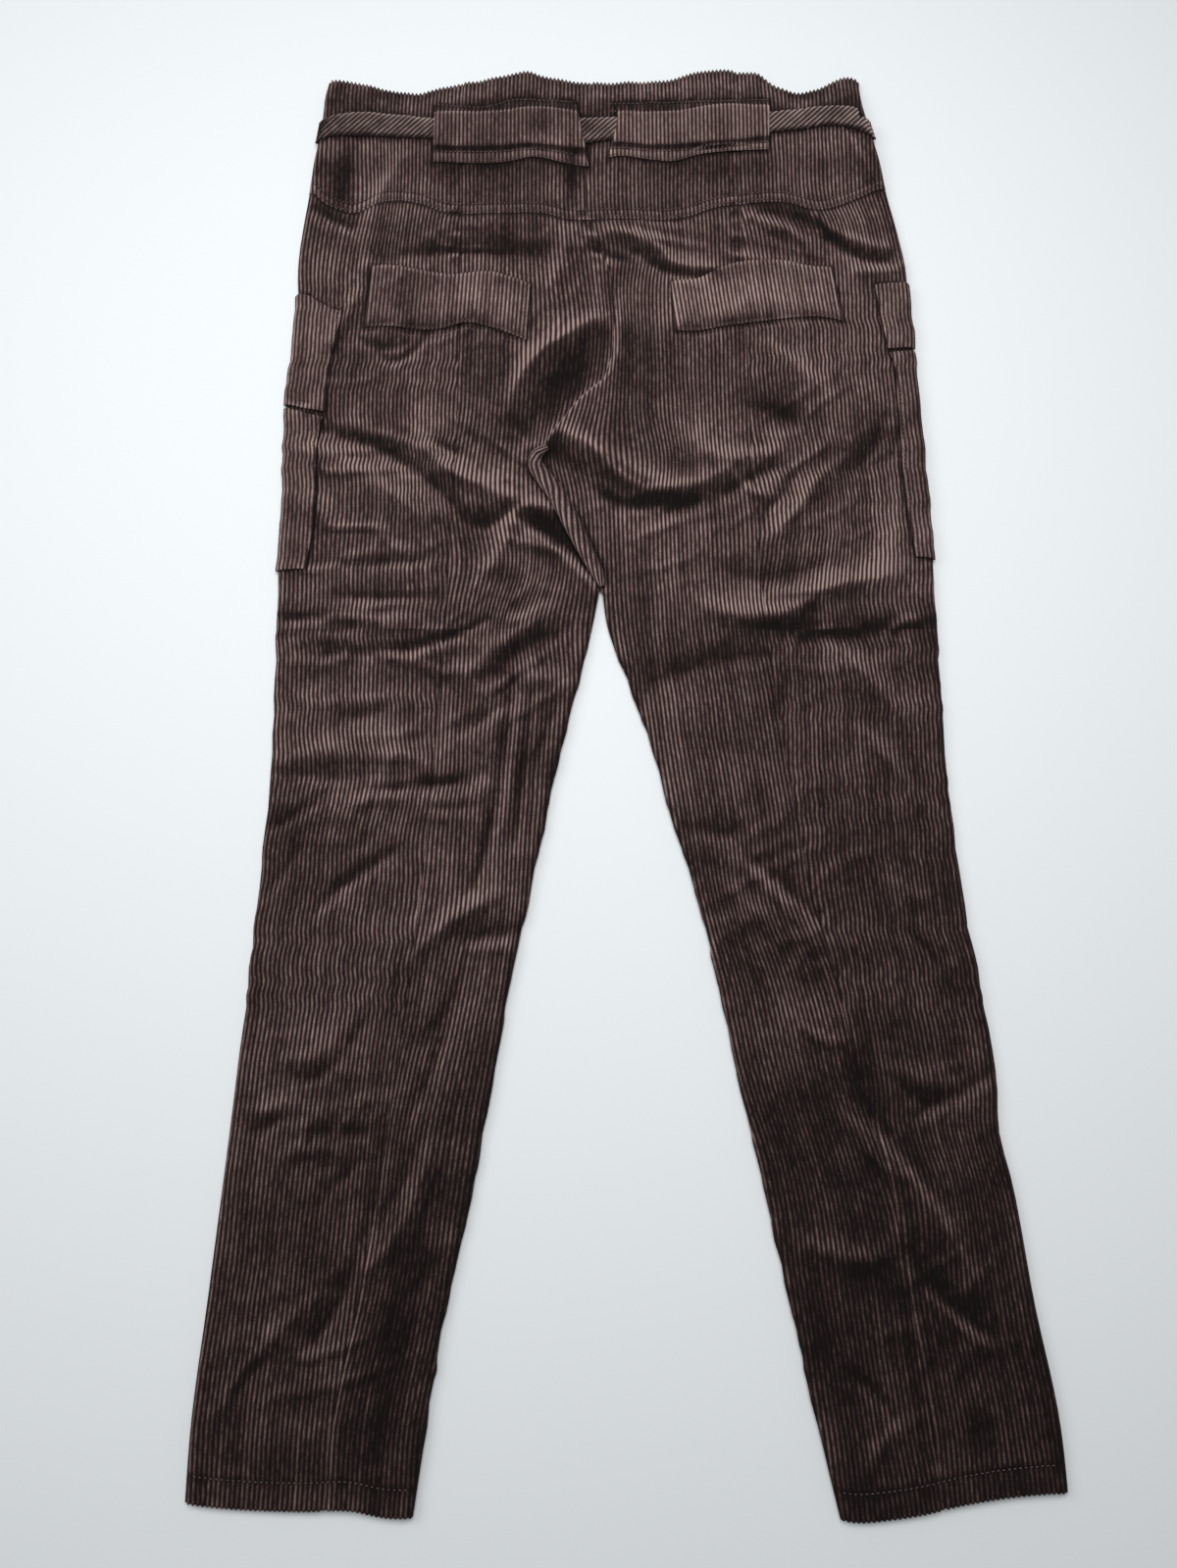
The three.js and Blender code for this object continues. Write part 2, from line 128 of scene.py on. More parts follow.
# Lines that run across. Columns: x, y.
ACROSS = {
    "hem": [
        (-284, 12), (-261, 9.5), (-237, 8), (-207, 7.5), (-177, 8), (-154, 4), (-137, 3.5), (137, 2),
        (146, 1), (169, 2.5), (190, 5.5), (215, 11), (237, 14.5), (261, 17), (276, 18), (285, 18),
    ],
    "yoke_seam": [
        (-248, 973), (-236, 962), (-225, 957), (-214, 954), (-204, 957), (-194, 962), (-180, 965),
        (-159, 962), (-142, 955), (-98, 954), (-62, 954), (-36, 948), (-24, 948), (10, 949),
        (39, 948), (56, 951), (74, 958), (103, 963), (140, 963), (152, 959), (162, 957), (175, 960),
        (194, 968), (211, 976), (220, 979),
    ],
    "tunnel_bottom": [
        (-245, 1000), (-151, 1001), (-131, 1000), (-101, 1000), (-85, 1002), (-71, 1005),
        (-44, 1000), (-23, 997), (-8, 1004), (29, 1002), (42, 1001), (66, 1007), (122, 1012),
        (208, 1015),
    ],
    "tunnel_low": [
        (-151, 1011), (-122, 1010), (-92, 1011), (-73, 1013), (-54, 1011), (-27, 1008), (-7, 1013),
        (29, 1011), (66, 1013), (122, 1020),
    ],
    "tunnel_high": [
        (-151, 1047), (-101, 1047), (-78, 1050), (-59, 1050), (-33, 1047), (-1, 1047), (57, 1049),
        (77, 1053), (123, 1053),
    ],
    "belt_bottom": [
        (-243, 1023), (-237, 1025), (-214, 1026), (-188, 1025), (-151, 1023), (-24, 1019),
        (-8, 1021), (124, 1029), (150, 1032), (176, 1036), (188, 1034), (197, 1032), (208, 1027),
    ],
    "belt_top": [
        (-243, 1043), (-230, 1047), (-212, 1049), (-189, 1047), (-151, 1043), (-24, 1043),
        (-3, 1044), (124, 1049), (146, 1052), (166, 1055), (185, 1055), (194, 1054), (201, 1050), (206, 1044),
    ],
    "tunnel_top": [
        (-242, 1056), (-151, 1056), (-102, 1055), (-88, 1060), (-73, 1060), (-35, 1058),
        (-3, 1057), (57, 1059), (125, 1061), (199, 1061),
    ],
    "top": [
        (-236, 1073), (-218, 1071), (-193, 1064), (-176, 1060), (-165, 1059), (-149, 1064),
        (-129, 1069), (-105, 1074), (-84, 1080), (-73, 1081), (-64, 1078), (-40, 1072), (-20, 1070),
        (8, 1071), (40, 1073), (58, 1079), (78, 1083), (98, 1081), (116, 1078), (130, 1066),
        (148, 1060), (161, 1063), (177, 1072), (190, 1076), (199, 1073),
    ],
}

# Folds and creases, each along a curve through three places. widths: above it (or on its left where
# it runs upright) and below it (or on its right). A trough has a negative height.
# Columns: from x, y, by way of x, y, to x, y, width above, width below, height.
FOLDS = [
    # seat, left half
    (-84, 780, -68, 822, -20, 858, 7, 9, 5.0),
    (-66, 765, -42, 802, -14, 836, 13, 11, -4.5),
    (-2, 822, -12, 868, -14, 902, 6, 6, 2.4),
    (-55, 888, -46, 908, -42, 932, 7, 7, 2.4),
    (-86, 682, -74, 698, -46, 692, 5, 6, 3.4),
    (-84, 686, -52, 666, -18, 632, 5, 8, 4.4),
    (-72, 682, -50, 675, -28, 650, 7, 6, -4.6),
    (-120, 622, -92, 660, -80, 686, 6, 7, 1.5),
    (-190, 912, -130, 918, -58, 916, 9, 9, -1.8),
    # left hip
    (-152, 750, -112, 718, -46, 695, 9, 7, 3.6),
    (-234, 746, -200, 728, -150, 690, 6, 16, 2.2),
    (-230, 763, -172, 740, -120, 694, 5, 7, -3.2),
    (-122, 694, -104, 686, -76, 700, 6, 7, -3.0),
    (-258, 801, -246, 797, -233, 801, 3, 3, -1.6),
    (-258, 790, -246, 787, -233, 791, 3, 3, -1.6),
    (-232, 653, -190, 654, -148, 656, 5, 3.5, -1.8),
    (-216, 628, -178, 627, -140, 626, 5, 3.5, -1.6),
    (-257, 610, -240, 610, -222, 612, 4, 3.5, -2.0),
    (-228, 838, -212, 868, -203, 905, 5, 6, 2.2),
    (-203, 905, -202, 945, -176, 1000, 7, 8, 2.6),
    (-207, 785, -208, 805, -205, 824, 4, 5, -2.0),
    (-205, 840, -185, 834, -168, 838, 3, 3, -1.4),
    (-190, 829, -172, 824, -152, 844, 3.5, 3, -1.8),
    (-150, 756, -137, 750, -122, 744, 3, 3.5, -1.6),
    (-232, 735, -222, 712, -212, 690, 5, 5, -1.4),
    # waist, left and right
    (-245, 957, -230, 948, -214, 941, 4, 5, -2.0),
    (-222, 962, -222, 980, -212, 1020, 7, 6, -3.2),
    (-36, 962, -38, 985, -38, 1004, 5, 4, -3.2),
    (-158, 1046, -155, 1058, -150, 1072, 3, 4, -2.0),
    (-232, 1048, -231, 1062, -228, 1076, 3, 4, -1.4),
    (205, 986, 193, 1009, 182, 1028, 6, 5, 2.6),
    (176, 980, 166, 1004, 158, 1026, 6, 5, 1.8),
    (176, 1063, 172, 1072, 168, 1082, 4, 4, -1.4),
    # seat, right half
    (-46, 760, -12, 741, 28, 717, 9, 5, 2.0),
    (26, 717, 48, 714, 82, 730, 9, 6, 2.6),
    (-30, 730, 0, 702, 60, 704, 6, 8, -2.4),
    (60, 752, 80, 740, 122, 744, 8, 8, 2.4),
    (104, 784, 126, 776, 150, 764, 10, 10, -2.6),
    (84, 712, 98, 722, 118, 732, 6, 6, -2.4),
    (84, 729, 98, 715, 114, 709, 4, 4, 1.8),
    (118, 674, 130, 692, 152, 722, 5, 6, 1.8),
    (108, 680, 116, 700, 134, 724, 6, 5, -1.4),
    (8, 800, 8, 850, 6, 900, 9, 10, -1.8),
    (178, 728, 194, 744, 206, 776, 6, 7, -1.6),
    (208, 738, 212, 748, 216, 762, 4, 4, -1.6),
    (196, 640, 206, 670, 210, 704, 12, 8, 2.2),
    (40, 620, 40, 655, 38, 690, 5, 5, 1.4),
    (120, 832, 140, 816, 160, 792, 7, 7, 1.8),
    # right, below the yoke
    (104, 950, 134, 938, 152, 922, 5, 6, 2.6),
    (118, 956, 158, 944, 172, 926, 6, 7, -3.2),
    (160, 952, 178, 932, 214, 921, 6, 4, 3.0),
    (172, 930, 190, 916, 218, 908, 4, 5, -3.2),
    (190, 900, 208, 902, 226, 906, 5, 6, 2.0),
    (-8, 936, 24, 926, 40, 909, 6, 5, 2.5),
    (38, 910, 54, 905, 76, 904, 5, 4, 2.2),
    (16, 918, 38, 902, 76, 896, 4, 6, -2.2),
    (-20, 922, -10, 916, 2, 912, 5, 5, -2.4),
    # right thigh
    (66, 618, 112, 612, 152, 632, 10, 7, 3.4),
    (140, 630, 172, 638, 208, 645, 10, 8, 3.1),
    (76, 652, 110, 642, 158, 654, 9, 9, -1.5),
    (112, 602, 160, 596, 226, 606, 8, 10, -2.7),
    (154, 590, 180, 566, 206, 536, 9, 12, 2.4),
    (198, 598, 212, 607, 226, 606, 4, 4, 1.9),
    (22, 556, 60, 574, 112, 580, 9, 9, -1.5),
    (44, 450, 62, 448, 84, 445, 7, 7, -1.5),
    (178, 522, 198, 497, 216, 470, 5, 5, 1.5),
    (112, 530, 118, 545, 126, 556, 8, 8, -1.2),
    (84, 424, 110, 402, 132, 368, 6, 7, 2.4),
    (90, 430, 120, 404, 138, 386, 6, 4, -1.7),
    (74, 410, 94, 391, 112, 374, 6, 6, 1.5),
    (164, 300, 153, 352, 140, 396, 4, 4, 1.5),
    (204, 377, 212, 366, 222, 354, 4, 4, -1.5),
    (200, 408, 206, 403, 216, 400, 6, 6, 1.2),
    # left thigh
    (-222, 579, -196, 585, -174, 577, 3.5, 4, -1.4),
    (-184, 587, -148, 589, -102, 609, 3, 3.5, -2.4),
    (-182, 583, -172, 580, -156, 578, 3, 3, 1.2),
    (-114, 566, -86, 592, -52, 616, 9, 8, 2.4),
    (-88, 570, -76, 586, -56, 596, 6, 9, -2.2),
    (-106, 408, -90, 480, -81, 562, 3.5, 4.5, -3.8),
    (-86, 450, -80, 500, -76, 548, 4, 4, 2.2),
    (-78, 440, -71, 500, -67, 552, 3, 3.5, -2.8),
    (-118, 524, -100, 534, -88, 546, 5, 4, -1.7),
    (-76, 562, -62, 564, -44, 560, 4, 4, 1.2),
    (-62, 545, -64, 558, -66, 574, 4, 4, 0.9),
    (-64, 498, -56, 520, -48, 544, 5, 5, -1.6),
    (-248, 491, -215, 487, -178, 484, 8, 5, -2.0),
    (-166, 482, -136, 484, -100, 491, 5, 5, -2.3),
    (-246, 500, -206, 511, -168, 506, 9, 8, 1.4),
    (-202, 535, -185, 537, -168, 545, 5, 4, -1.2),
    (-254, 453, -232, 463, -212, 480, 5, 5, -1.2),
    (-252, 408, -243, 420, -234, 438, 4, 5, -1.3),
    (-196, 460, -182, 478, -164, 508, 6, 6, 1.4),
    (-186, 440, -178, 448, -168, 456, 8, 8, -1.4),
    (-216, 394, -196, 413, -164, 434, 5, 4.5, -2.2),
    (-150, 356, -124, 383, -90, 402, 8, 6, 2.3),
    (-112, 371, -96, 374, -76, 378, 7, 6, -1.9),
    (-112, 365, -96, 365, -78, 366, 3, 3, 1.0),
    (-138, 300, -118, 335, -113, 366, 5, 6, -1.9),
    (-161, 272, -160, 320, -156, 362, 4, 3.5, -1.6),
    (-149, 376, -147, 383, -145, 390, 3, 3, 1.0),
    # left shin
    (-174, 151, -140, 202, -126, 292, 5, 6, 1.7),
    (-166, 180, -147, 215, -138, 240, 5, 5, -1.2),
    (-150, 248, -138, 270, -118, 326, 5, 5, -1.6),
    (-190, 26, -160, 100, -134, 190, 8, 9, -1.0),
    (-230, 278, -205, 281, -180, 316, 5, 4, -1.2),
    (-228, 285, -212, 292, -200, 306, 8, 8, 1.0),
    (-246, 254, -234, 259, -218, 256, 6, 5, 1.2),
    (-252, 234, -240, 247, -222, 251, 5, 6, -1.4),
    (-226, 222, -221, 236, -213, 251, 5, 5, 1.2),
    (-194, 243, -188, 250, -178, 262, 5, 5, 1.0),
    (-196, 241, -184, 239, -168, 241, 4, 4, -0.9),
    (-204, 198, -192, 210, -178, 221, 4, 4, -1.0),
    (-214, 102, -192, 128, -178, 172, 5, 5, -1.9),
    (-268, 60, -244, 98, -204, 136, 6, 6, 1.5),
    (-262, 58, -252, 82, -240, 94, 4, 5, -1.0),
    # right shin
    (164, 284, 159, 300, 155, 320, 3.5, 3.5, 1.4),
    (124, 312, 136, 303, 152, 301, 3, 3, 1.6),
    (152, 252, 164, 232, 180, 212, 5, 4, 2.2),
    (162, 244, 200, 202, 232, 148, 5, 9, 2.7),
    (160, 264, 186, 232, 218, 188, 6, 5, -1.5),
    (190, 162, 214, 131, 242, 109, 5, 5, -1.9),
    (206, 132, 222, 117, 238, 106, 4, 5, 1.8),
    (194, 271, 215, 259, 252, 279, 4, 4, -1.7),
    (196, 277, 210, 272, 228, 271, 5, 4, 1.0),
    (200, 249, 208, 255, 218, 262, 3.5, 3.5, -1.6),
    (120, 166, 136, 163, 148, 158, 9, 8, 1.8),
    (150, 160, 162, 158, 176, 160, 5, 5, 1.4),
    (150, 86, 164, 74, 178, 58, 4, 5, -1.8),
    (158, 30, 172, 48, 192, 60, 4, 4, 1.1),
]

# Patches lighter or darker than round about: partly pile lying brushed and random tone, partly painted shade in
# hollows and painted highlight on raised cloth.
# Columns: x, y, reach across, reach along, turn in degrees, lightening.
BRUSHED_AND_SHADED = [
    (-38, 806, 30, 14, 58, -0.30),
    (12, 856, 14, 40, 0, -0.24),
    (-100, 800, 22, 42, 0, -0.16),
    (-80, 922, 40, 14, 0, -0.20),
    (-160, 942, 18, 8, 0, -0.14),
    (-110, 880, 34, 18, 0, 0.14),
    (110, 884, 70, 24, 0, 0.12),
    (-150, 776, 20, 16, 0, 0.14),
    (-185, 712, 46, 22, -36, 0.08),
    (-108, 680, 18, 14, 0, -0.26),
    (-50, 677, 22, 11, -42, -0.40),
    (-200, 516, 36, 22, 0, 0.10),
    (-64, 588, 18, 18, 0, -0.20),
    (60, 575, 60, 14, 5, -0.12),
    (165, 602, 58, 14, 0, -0.22),
    (125, 775, 26, 14, -10, -0.20),
    (95, 648, 40, 14, 0, -0.14),
    (30, 702, 42, 8, -3, -0.22),
    (-14, 716, 10, 7, -40, -0.20),
    (-182, 882, 22, 22, 0, -0.12),
    (82, 714, 8, 8, 0, -0.20),
    (150, 810, 50, 22, -32, 0.08),
    (205, 670, 14, 40, 0, 0.14),
    (148, 943, 26, 8, -16, -0.28),
    (60, 765, 34, 34, 0, 0.12),
    (190, 752, 26, 14, 48, -0.14),
    (-224, 975, 11, 24, 0, -0.26),
    (-188, 985, 18, 24, 0, 0.14),
    (-38, 985, 6, 24, 0, -0.28),
    (-146, 110, 20, 120, -14, -0.14),
    (-205, 300, 22, 26, 0, 0.12),
    (-238, 257, 16, 10, 0, 0.12),
    (212, 182, 14, 42, 28, 0.03),
    (135, 165, 20, 12, 0, 0.10),
    (-58, 520, 10, 50, -10, -0.10),
    (-205, 1064, 46, 10, 0, -0.34),
    (-60, 1072, 70, 8, 0, -0.16),
    (165, 1066, 40, 10, 0, -0.24),
    (230, 590, 14, 60, 0, -0.10),
    (-168, 862, 8, 16, 24, -0.20),
    (-118, 856, 22, 7, 16, -0.12),
    (60, 862, 9, 18, 0, -0.10),
    (-170, 390, 66, 74, 0, 0.08),
    (120, 390, 60, 70, 0, 0.06),
    (75, 1032, 74, 22, 0, 0.10),
    (-80, 1032, 74, 22, 0, -0.04),
    (140, 985, 60, 16, 0, 0.09),
    (-34, 748, 15, 9, -38, 0.30),
    (-120, 988, 96, 24, 0, -0.07),
]

# Where the ribs are pulled aside. Columns: centre x, y, reach across, reach along, shift.
PULLED = [
    (-30, 842, 34, 62, 9),
    (-30, 742, 30, 26, -7),
    (20, 735, 36, 26, 5),
    (-95, 650, 40, 34, 7),
    (-60, 600, 34, 26, -6),
    (-120, 720, 44, 40, -5),
    (-205, 960, 26, 60, 6),
    (10, 915, 34, 24, 6),
    (160, 935, 34, 22, 5),
    (120, 690, 44, 44, 6),
    (170, 620, 50, 34, -5),
    (-110, 390, 40, 44, 5),
    (-135, 230, 34, 60, -5),
    (-190, 490, 60, 26, 5),
    (110, 400, 40, 40, -5),
    (205, 200, 34, 60, 5),
]

# Where the cloth is creased all over. Columns: centre x, y, reach across, reach along, turn of the
# creases in degrees, height.
CREASED = [
    (-205, 690, 55, 100, 4, 1.5),
    (-120, 735, 50, 55, -28, 1.4),
    (-72, 680, 36, 42, -20, 1.8),
    (-175, 575, 80, 48, 4, 1.5),
    (-88, 570, 46, 60, 38, 1.3),
    (-170, 480, 80, 52, 2, 1.2),
    (-220, 250, 42, 46, 8, 1.1),
    (-200, 105, 46, 46, 16, 1.1),
    (-130, 150, 30, 80, 70, 0.8),
    (150, 735, 60, 70, 32, 1.0),
    (150, 610, 80, 46, 8, 1.1),
    (120, 400, 60, 70, 24, 0.9),
    (215, 262, 40, 30, 8, 1.1),
    (210, 125, 46, 46, 32, 1.0),
    (-120, 930, 90, 20, 0, 0.9),
    (60, 930, 90, 24, -12, 1.1),
    (-60, 850, 40, 60, 62, 1.2),
    (-140, 866, 62, 26, 24, 1.1),
    (120, 872, 66, 22, -14, 0.8),
    (30, 690, 50, 50, 20, 1.0),
]

# Rows of stitches pressed into the cloth: distance above a line across
YOKE_STITCHES = (2.0, 8.4)
HEM_STITCH = 16.5
STITCH_LENGTH = 2.6
STITCH_PITCH = 3.6
STITCH_WIDTH = 0.85

# Patch pockets and the pieces at the side seam, as lines that bound them.
# top and bottom columns: x, y; left and right columns: y, x.
PATCHES = {
    "pocket_back_left": {
        "top": [(-203, 906), (-181, 907), (-158, 901), (-137, 898), (-101, 900), (-79, 893), (-68, 890)],
        "bottom": [(-206, 854), (-180, 854), (-156, 851), (-141, 852), (-122, 857), (-105, 854), (-74, 842)],
        "left": [(840, -203), (910, -197)],
        "right": [(840, -74), (895, -71)],
        "upper": "pocket",
    },
    "pocket_back_right": {
        "top": [(38, 894), (57, 894), (70, 899), (87, 907), (108, 911), (129, 911), (156, 906), (172, 906)],
        "bottom": [(40, 848), (59, 848), (79, 853), (103, 857), (132, 861), (161, 862), (180, 858)],
        "left": [(845, 45), (900, 41)],
        "right": [(855, 177.5), (910, 169)],
        "upper": "pocket",
    },
}

SIDE_PATCHES = {
    "side_patch_upper_left": {
        "side": "left",
        "inner": [(778, -229), (807, -229), (825, -227), (843, -223), (867, -220), (875, -221)],
        "top": [(-262, 881), (-248, 880), (-235, 872), (-225, 867), (-215, 867)],
        "bottom": [(-262, 786), (-229, 779), (-215, 779)],
    },
    "side_patch_lower_left": {
        "side": "left",
        "inner": [(649, -239), (676, -235), (703, -234), (737, -234), (769, -232), (776, -230)],
        "top": [(-262, 783), (-229, 774), (-215, 774)],
        "bottom": [(-262, 649), (-215, 651)],
    },
    "side_patch_upper_right": {
        "side": "right",
        "inner": [(831, 211), (888, 203)],
        "top": [(195, 888), (220, 890), (238, 891)],
        "bottom": [(195, 832), (240, 835)],
    },
    "side_patch_lower_right": {
        "side": "right",
        "inner": [(660, 223), (687, 220), (725, 217), (765, 217), (792, 216), (820, 215), (829, 212)],
        "top": [(195, 828), (240, 832)],
        "bottom": [(195, 661), (240, 658)],
    },
}
TUNNELS = {
    "tunnel_back_left": {
        "top": ACROSS["tunnel_top"],
        "bottom": ACROSS["tunnel_bottom"],
        "left": [(990, -151), (1070, -151)],
        "right": [(997, -24), (1047, -33), (1060, -35)],
    },
    "tunnel_back_right": {
        "top": ACROSS["tunnel_top"],
        "bottom": ACROSS["tunnel_bottom"],
        "left": [(1004, -9), (1047, -1), (1060, -3)],
        "right": [(1000, 122), (1065, 125)],
    },
}

# The tables' places were read as if they lay on the surface. Seen from the camera the cloth covers
# places further out than its own, so each table is carried in by the height that its cloth lies at.
LINE_HEIGHTS = {
    "yoke_seam": 8.5, "tunnel_bottom": 11, "tunnel_low": 11, "tunnel_high": 14, "belt_bottom": 12.5,
    "belt_top": 14, "tunnel_top": 13, "top": 1.4,
}
BACK_HEIGHT = 8.0
POCKET_HEIGHT = 10.0

SEED = 11


def carried(x, y, height):
    """A place read on the surface, carried along the camera's ray to a height above it."""
    share = height / CAMERA_HEIGHT
    return x + (CAMERA_PLACE[0] - x) * share, y + (CAMERA_PLACE[1] + LENGTH / 2 - y) * share


def carried_shape(shape, height):
    """The lines that bound a piece, carried to a height. Upright lines hold y before x."""
    lines = {**shape}
    for key in ("top", "bottom"):
        if key in shape:
            lines[key] = [carried(x, y, height) for x, y in shape[key]]
    for key in ("left", "right", "inner"):
        if key in shape:
            lines[key] = [carried(x, y, height)[::-1] for y, x in shape[key]]
    return lines


for line, height in LINE_HEIGHTS.items():
    ACROSS[line] = [carried(x, y, height) for x, y in ACROSS[line]]
FOLDS = [
    (*carried(x0, y0, BACK_HEIGHT), *carried(xm, ym, BACK_HEIGHT), *carried(x1, y1, BACK_HEIGHT), *widths)
    for x0, y0, xm, ym, x1, y1, *widths in FOLDS
]
CREASED = [(*carried(x, y, BACK_HEIGHT), *rest) for x, y, *rest in CREASED]
BRUSHED_AND_SHADED = [(*carried(x, y, BACK_HEIGHT), *rest) for x, y, *rest in BRUSHED_AND_SHADED]
PATCHES = {name: carried_shape(shape, POCKET_HEIGHT) for name, shape in PATCHES.items()}
SIDE_PATCHES = {name: carried_shape(shape, BACK_HEIGHT) for name, shape in SIDE_PATCHES.items()}
TUNNELS = {
    name: {**carried_shape(shape, LINE_HEIGHTS["tunnel_high"]), "top": ACROSS["tunnel_top"],
           "bottom": ACROSS["tunnel_bottom"]}
    for name, shape in TUNNELS.items()
}


def metres(points):
    """Points in the tables' frame, turned to metres about the part's origin."""
    moved = np.asarray(points, float) - (0.0, LENGTH / 2, 0.0)
    return moved * 0.001


def along(table, at):
    """Smooth line through a table's points: cubic pieces with averaged slopes."""
    xs, ys = np.asarray(table, float).T
    slope = np.gradient(ys, xs)
    k = np.clip(np.searchsorted(xs, at) - 1, 0, len(xs) - 2)
    step = xs[k + 1] - xs[k]
    t = np.clip((at - xs[k]) / step, 0, 1)
    rise = ys[k + 1] - ys[k]
    bend_a = slope[k] * step - rise
    bend_b = rise - slope[k + 1] * step
    return ys[k] + t * rise + t * (1 - t) * ((1 - t) * bend_a + t * bend_b)


def smooth(share):
    """Eases from 0 to 1."""
    s = np.clip(share, 0, 1)
    return s * s * (3 - 2 * s)


def value_noise(x, y, cell, seed):
    """Smooth noise from -1 to 1 with bumps about one cell wide: eased blend of random lattice values."""
    rng = np.random.default_rng(seed)
    lattice = rng.uniform(-1, 1, (64, 64))
    u, v = np.asarray(x) / cell + 100, np.asarray(y) / cell + 100
    i, j = np.floor(u).astype(int), np.floor(v).astype(int)
    s, t = smooth(u - i), smooth(v - j)
    low = lattice[i % 64, j % 64] * (1 - s) + lattice[(i + 1) % 64, j % 64] * s
    high = lattice[i % 64, (j + 1) % 64] * (1 - s) + lattice[(i + 1) % 64, (j + 1) % 64] * s
    return low * (1 - t) + high * t


def rucked(table, low, high, seed):
    """A seam whose line wanders by up to a millimetre, as the cloth is rucked along it."""
    y = np.union1d([row[0] for row in table], np.arange(low, high, 4.0))
    fading = smooth((y - low) / 30) * smooth((high - y) / 30)
    return np.stack([y, along(table, y) + 1.0 * fading * value_noise(y, 0 * y, 9, seed)], 1)


for k, (seam, low, high) in enumerate((
        ("inner_left", 40, 600), ("inner_right", 40, 600), ("outer_left", 300, 900), ("outer_right", 300, 900))):
    SEAMS[seam] = rucked(SEAMS[seam], low, high, SEED + 40 + k)


def add_fold(fold, x, y, height):
    """Adds one fold to a height field: a bell curve of the distance to a curve through three places."""
    x0, y0, xm, ym, x1, y1, above, below, top = fold
    reach = 2.6 * max(above, below)
    near = (x > min(x0, xm, x1) - reach) & (x < max(x0, xm, x1) + reach)
    near &= (y > min(y0, ym, y1) - reach) & (y < max(y0, ym, y1) + reach)
    if not near.any():
        return
    px, py = x[near], y[near]
    s = np.linspace(0, 1, 11)
    control = 2 * np.array([xm, ym]) - 0.5 * np.array([x0 + x1, y0 + y1])
    curve = np.outer((1 - s) ** 2, (x0, y0)) + np.outer(2 * s * (1 - s), control) + np.outer(s * s, (x1, y1))
    best = np.full(px.shape, np.inf)
    side = np.zeros(px.shape)
    share = np.zeros(px.shape)
    for k, (a, b) in enumerate(zip(curve[:-1], curve[1:])):
        d = b - a
        on = np.clip(((px - a[0]) * d[0] + (py - a[1]) * d[1]) / (d @ d), 0, 1)
        away = np.hypot(px - a[0] - d[0] * on, py - a[1] - d[1] * on)
        closer = away < best
        best = np.where(closer, away, best)
        side = np.where(closer, d[0] * (py - a[1]) - d[1] * (px - a[0]), side)
        share = np.where(closer, (k + on) / 10, share)
    width = np.where(side > 0, above, below)
    waist = 0.55 + 0.45 * np.sin(np.pi * np.clip(share, 0, 1))
    height[near] += top * waist * np.exp(-((best / width) ** 1.5))


def creases(x, y, height):
    """Small creases: ridges where a noise stretched along them passes through zero, near a few places."""
    for k, (cx, cy, reach_x, reach_y, turn, top) in enumerate(CREASED):
        near = (np.abs(x - cx) < 2.2 * reach_x) & (np.abs(y - cy) < 2.2 * reach_y)
        if not near.any():
            continue
        dx, dy = x[near] - cx, y[near] - cy
        c, s = math.cos(math.radians(turn)), math.sin(math.radians(turn))
        bent = value_noise(dx * c + dy * s, 3.0 * (dy * c - dx * s), 46, SEED + 20 + k)
        within = np.exp(-((dx / reach_x) ** 2) - (dy / reach_y) ** 2)
        height[near] += top * within * (np.exp(-((bent / 0.26) ** 2)) - 0.35)


# Where the seat's right side ends above the right leg. Columns: x, y.
SEAT_LIP = [
    (-80, 756), (-55, 755), (-42, 753), (-23, 744), (-7, 729), (8, 717), (23, 711), (42, 713), (60, 718),
    (82, 732), (110, 752),
]


def crotch_fold(x, y):
    """The seat's right side lies over its left along the centre seam: a steep lip, then a long slope that
    ends at a second lip above the leg."""
    past = x - along(SEAMS["centre"], y)
    fall = 11 + 15 * np.exp(-(((x + 34) / 26) ** 2))
    lasts = smooth((y - along(SEAT_LIP, x)) / fall + 1) * (1 - smooth((y - 835) / 60))
    lip = np.where(past > 5, np.exp(-(((past - 5) / 62) ** 2)), smooth(past / 5))
    dip = np.exp(-(((past + 9) / 12) ** 2))
    return lasts * (7.5 * lip * (past > 0) - 2.2 * dip * (past <= 0))


def fold_relief(x, y):
    """Height of the folds that the table lists."""
    relief = np.zeros(np.broadcast(x, y).shape)
    for fold in FOLDS:
        add_fold(fold, x, y, relief)
    return relief


def back_height(x, y, yoke=False):
    """Height of the back's outer surface without its ribs."""
    x, y = np.broadcast_arrays(np.asarray(x, float), np.asarray(y, float))
    left, right = along(SEAMS["outer_left"], y), along(SEAMS["outer_right"], y)
    middle = np.sin(np.pi * np.clip((x - left) / (right - left), 0, 1))
    height = LAID_FLAT + CROWN * middle + 0.0 * y
    height = height + 0.75 * value_noise(x, y, 58, SEED) + 0.35 * value_noise(x, y, 23, SEED + 1)
    folds = crotch_fold(x, y) + fold_relief(x, y)
    creases(x, y, folds)
    height = height + folds
    floor = DEEPEST
    if yoke:
        below_top = along(ACROSS["top"], x) - y
        frill = 1 - smooth((below_top - 2) / 20)
        gather = np.sin(x / 4.1 + 2.2 * value_noise(x, y, 34, SEED + 3))
        height = height - 2.6 * frill + 0.8 * gather * (1 - smooth((below_top - 8) / 36))
        floor = DEEPEST + 2.6 * (1 - frill)
    return floor + np.logaddexp(0, (height - floor) / 0.8) * 0.8


def belt_lift(y):
    """How far the belt's hidden stretch lifts the front yoke."""
    return (BELT_THICK + SEAM_GAP) * smooth((y - 974) / 28) * (1 - smooth((y - 1050) / 26))


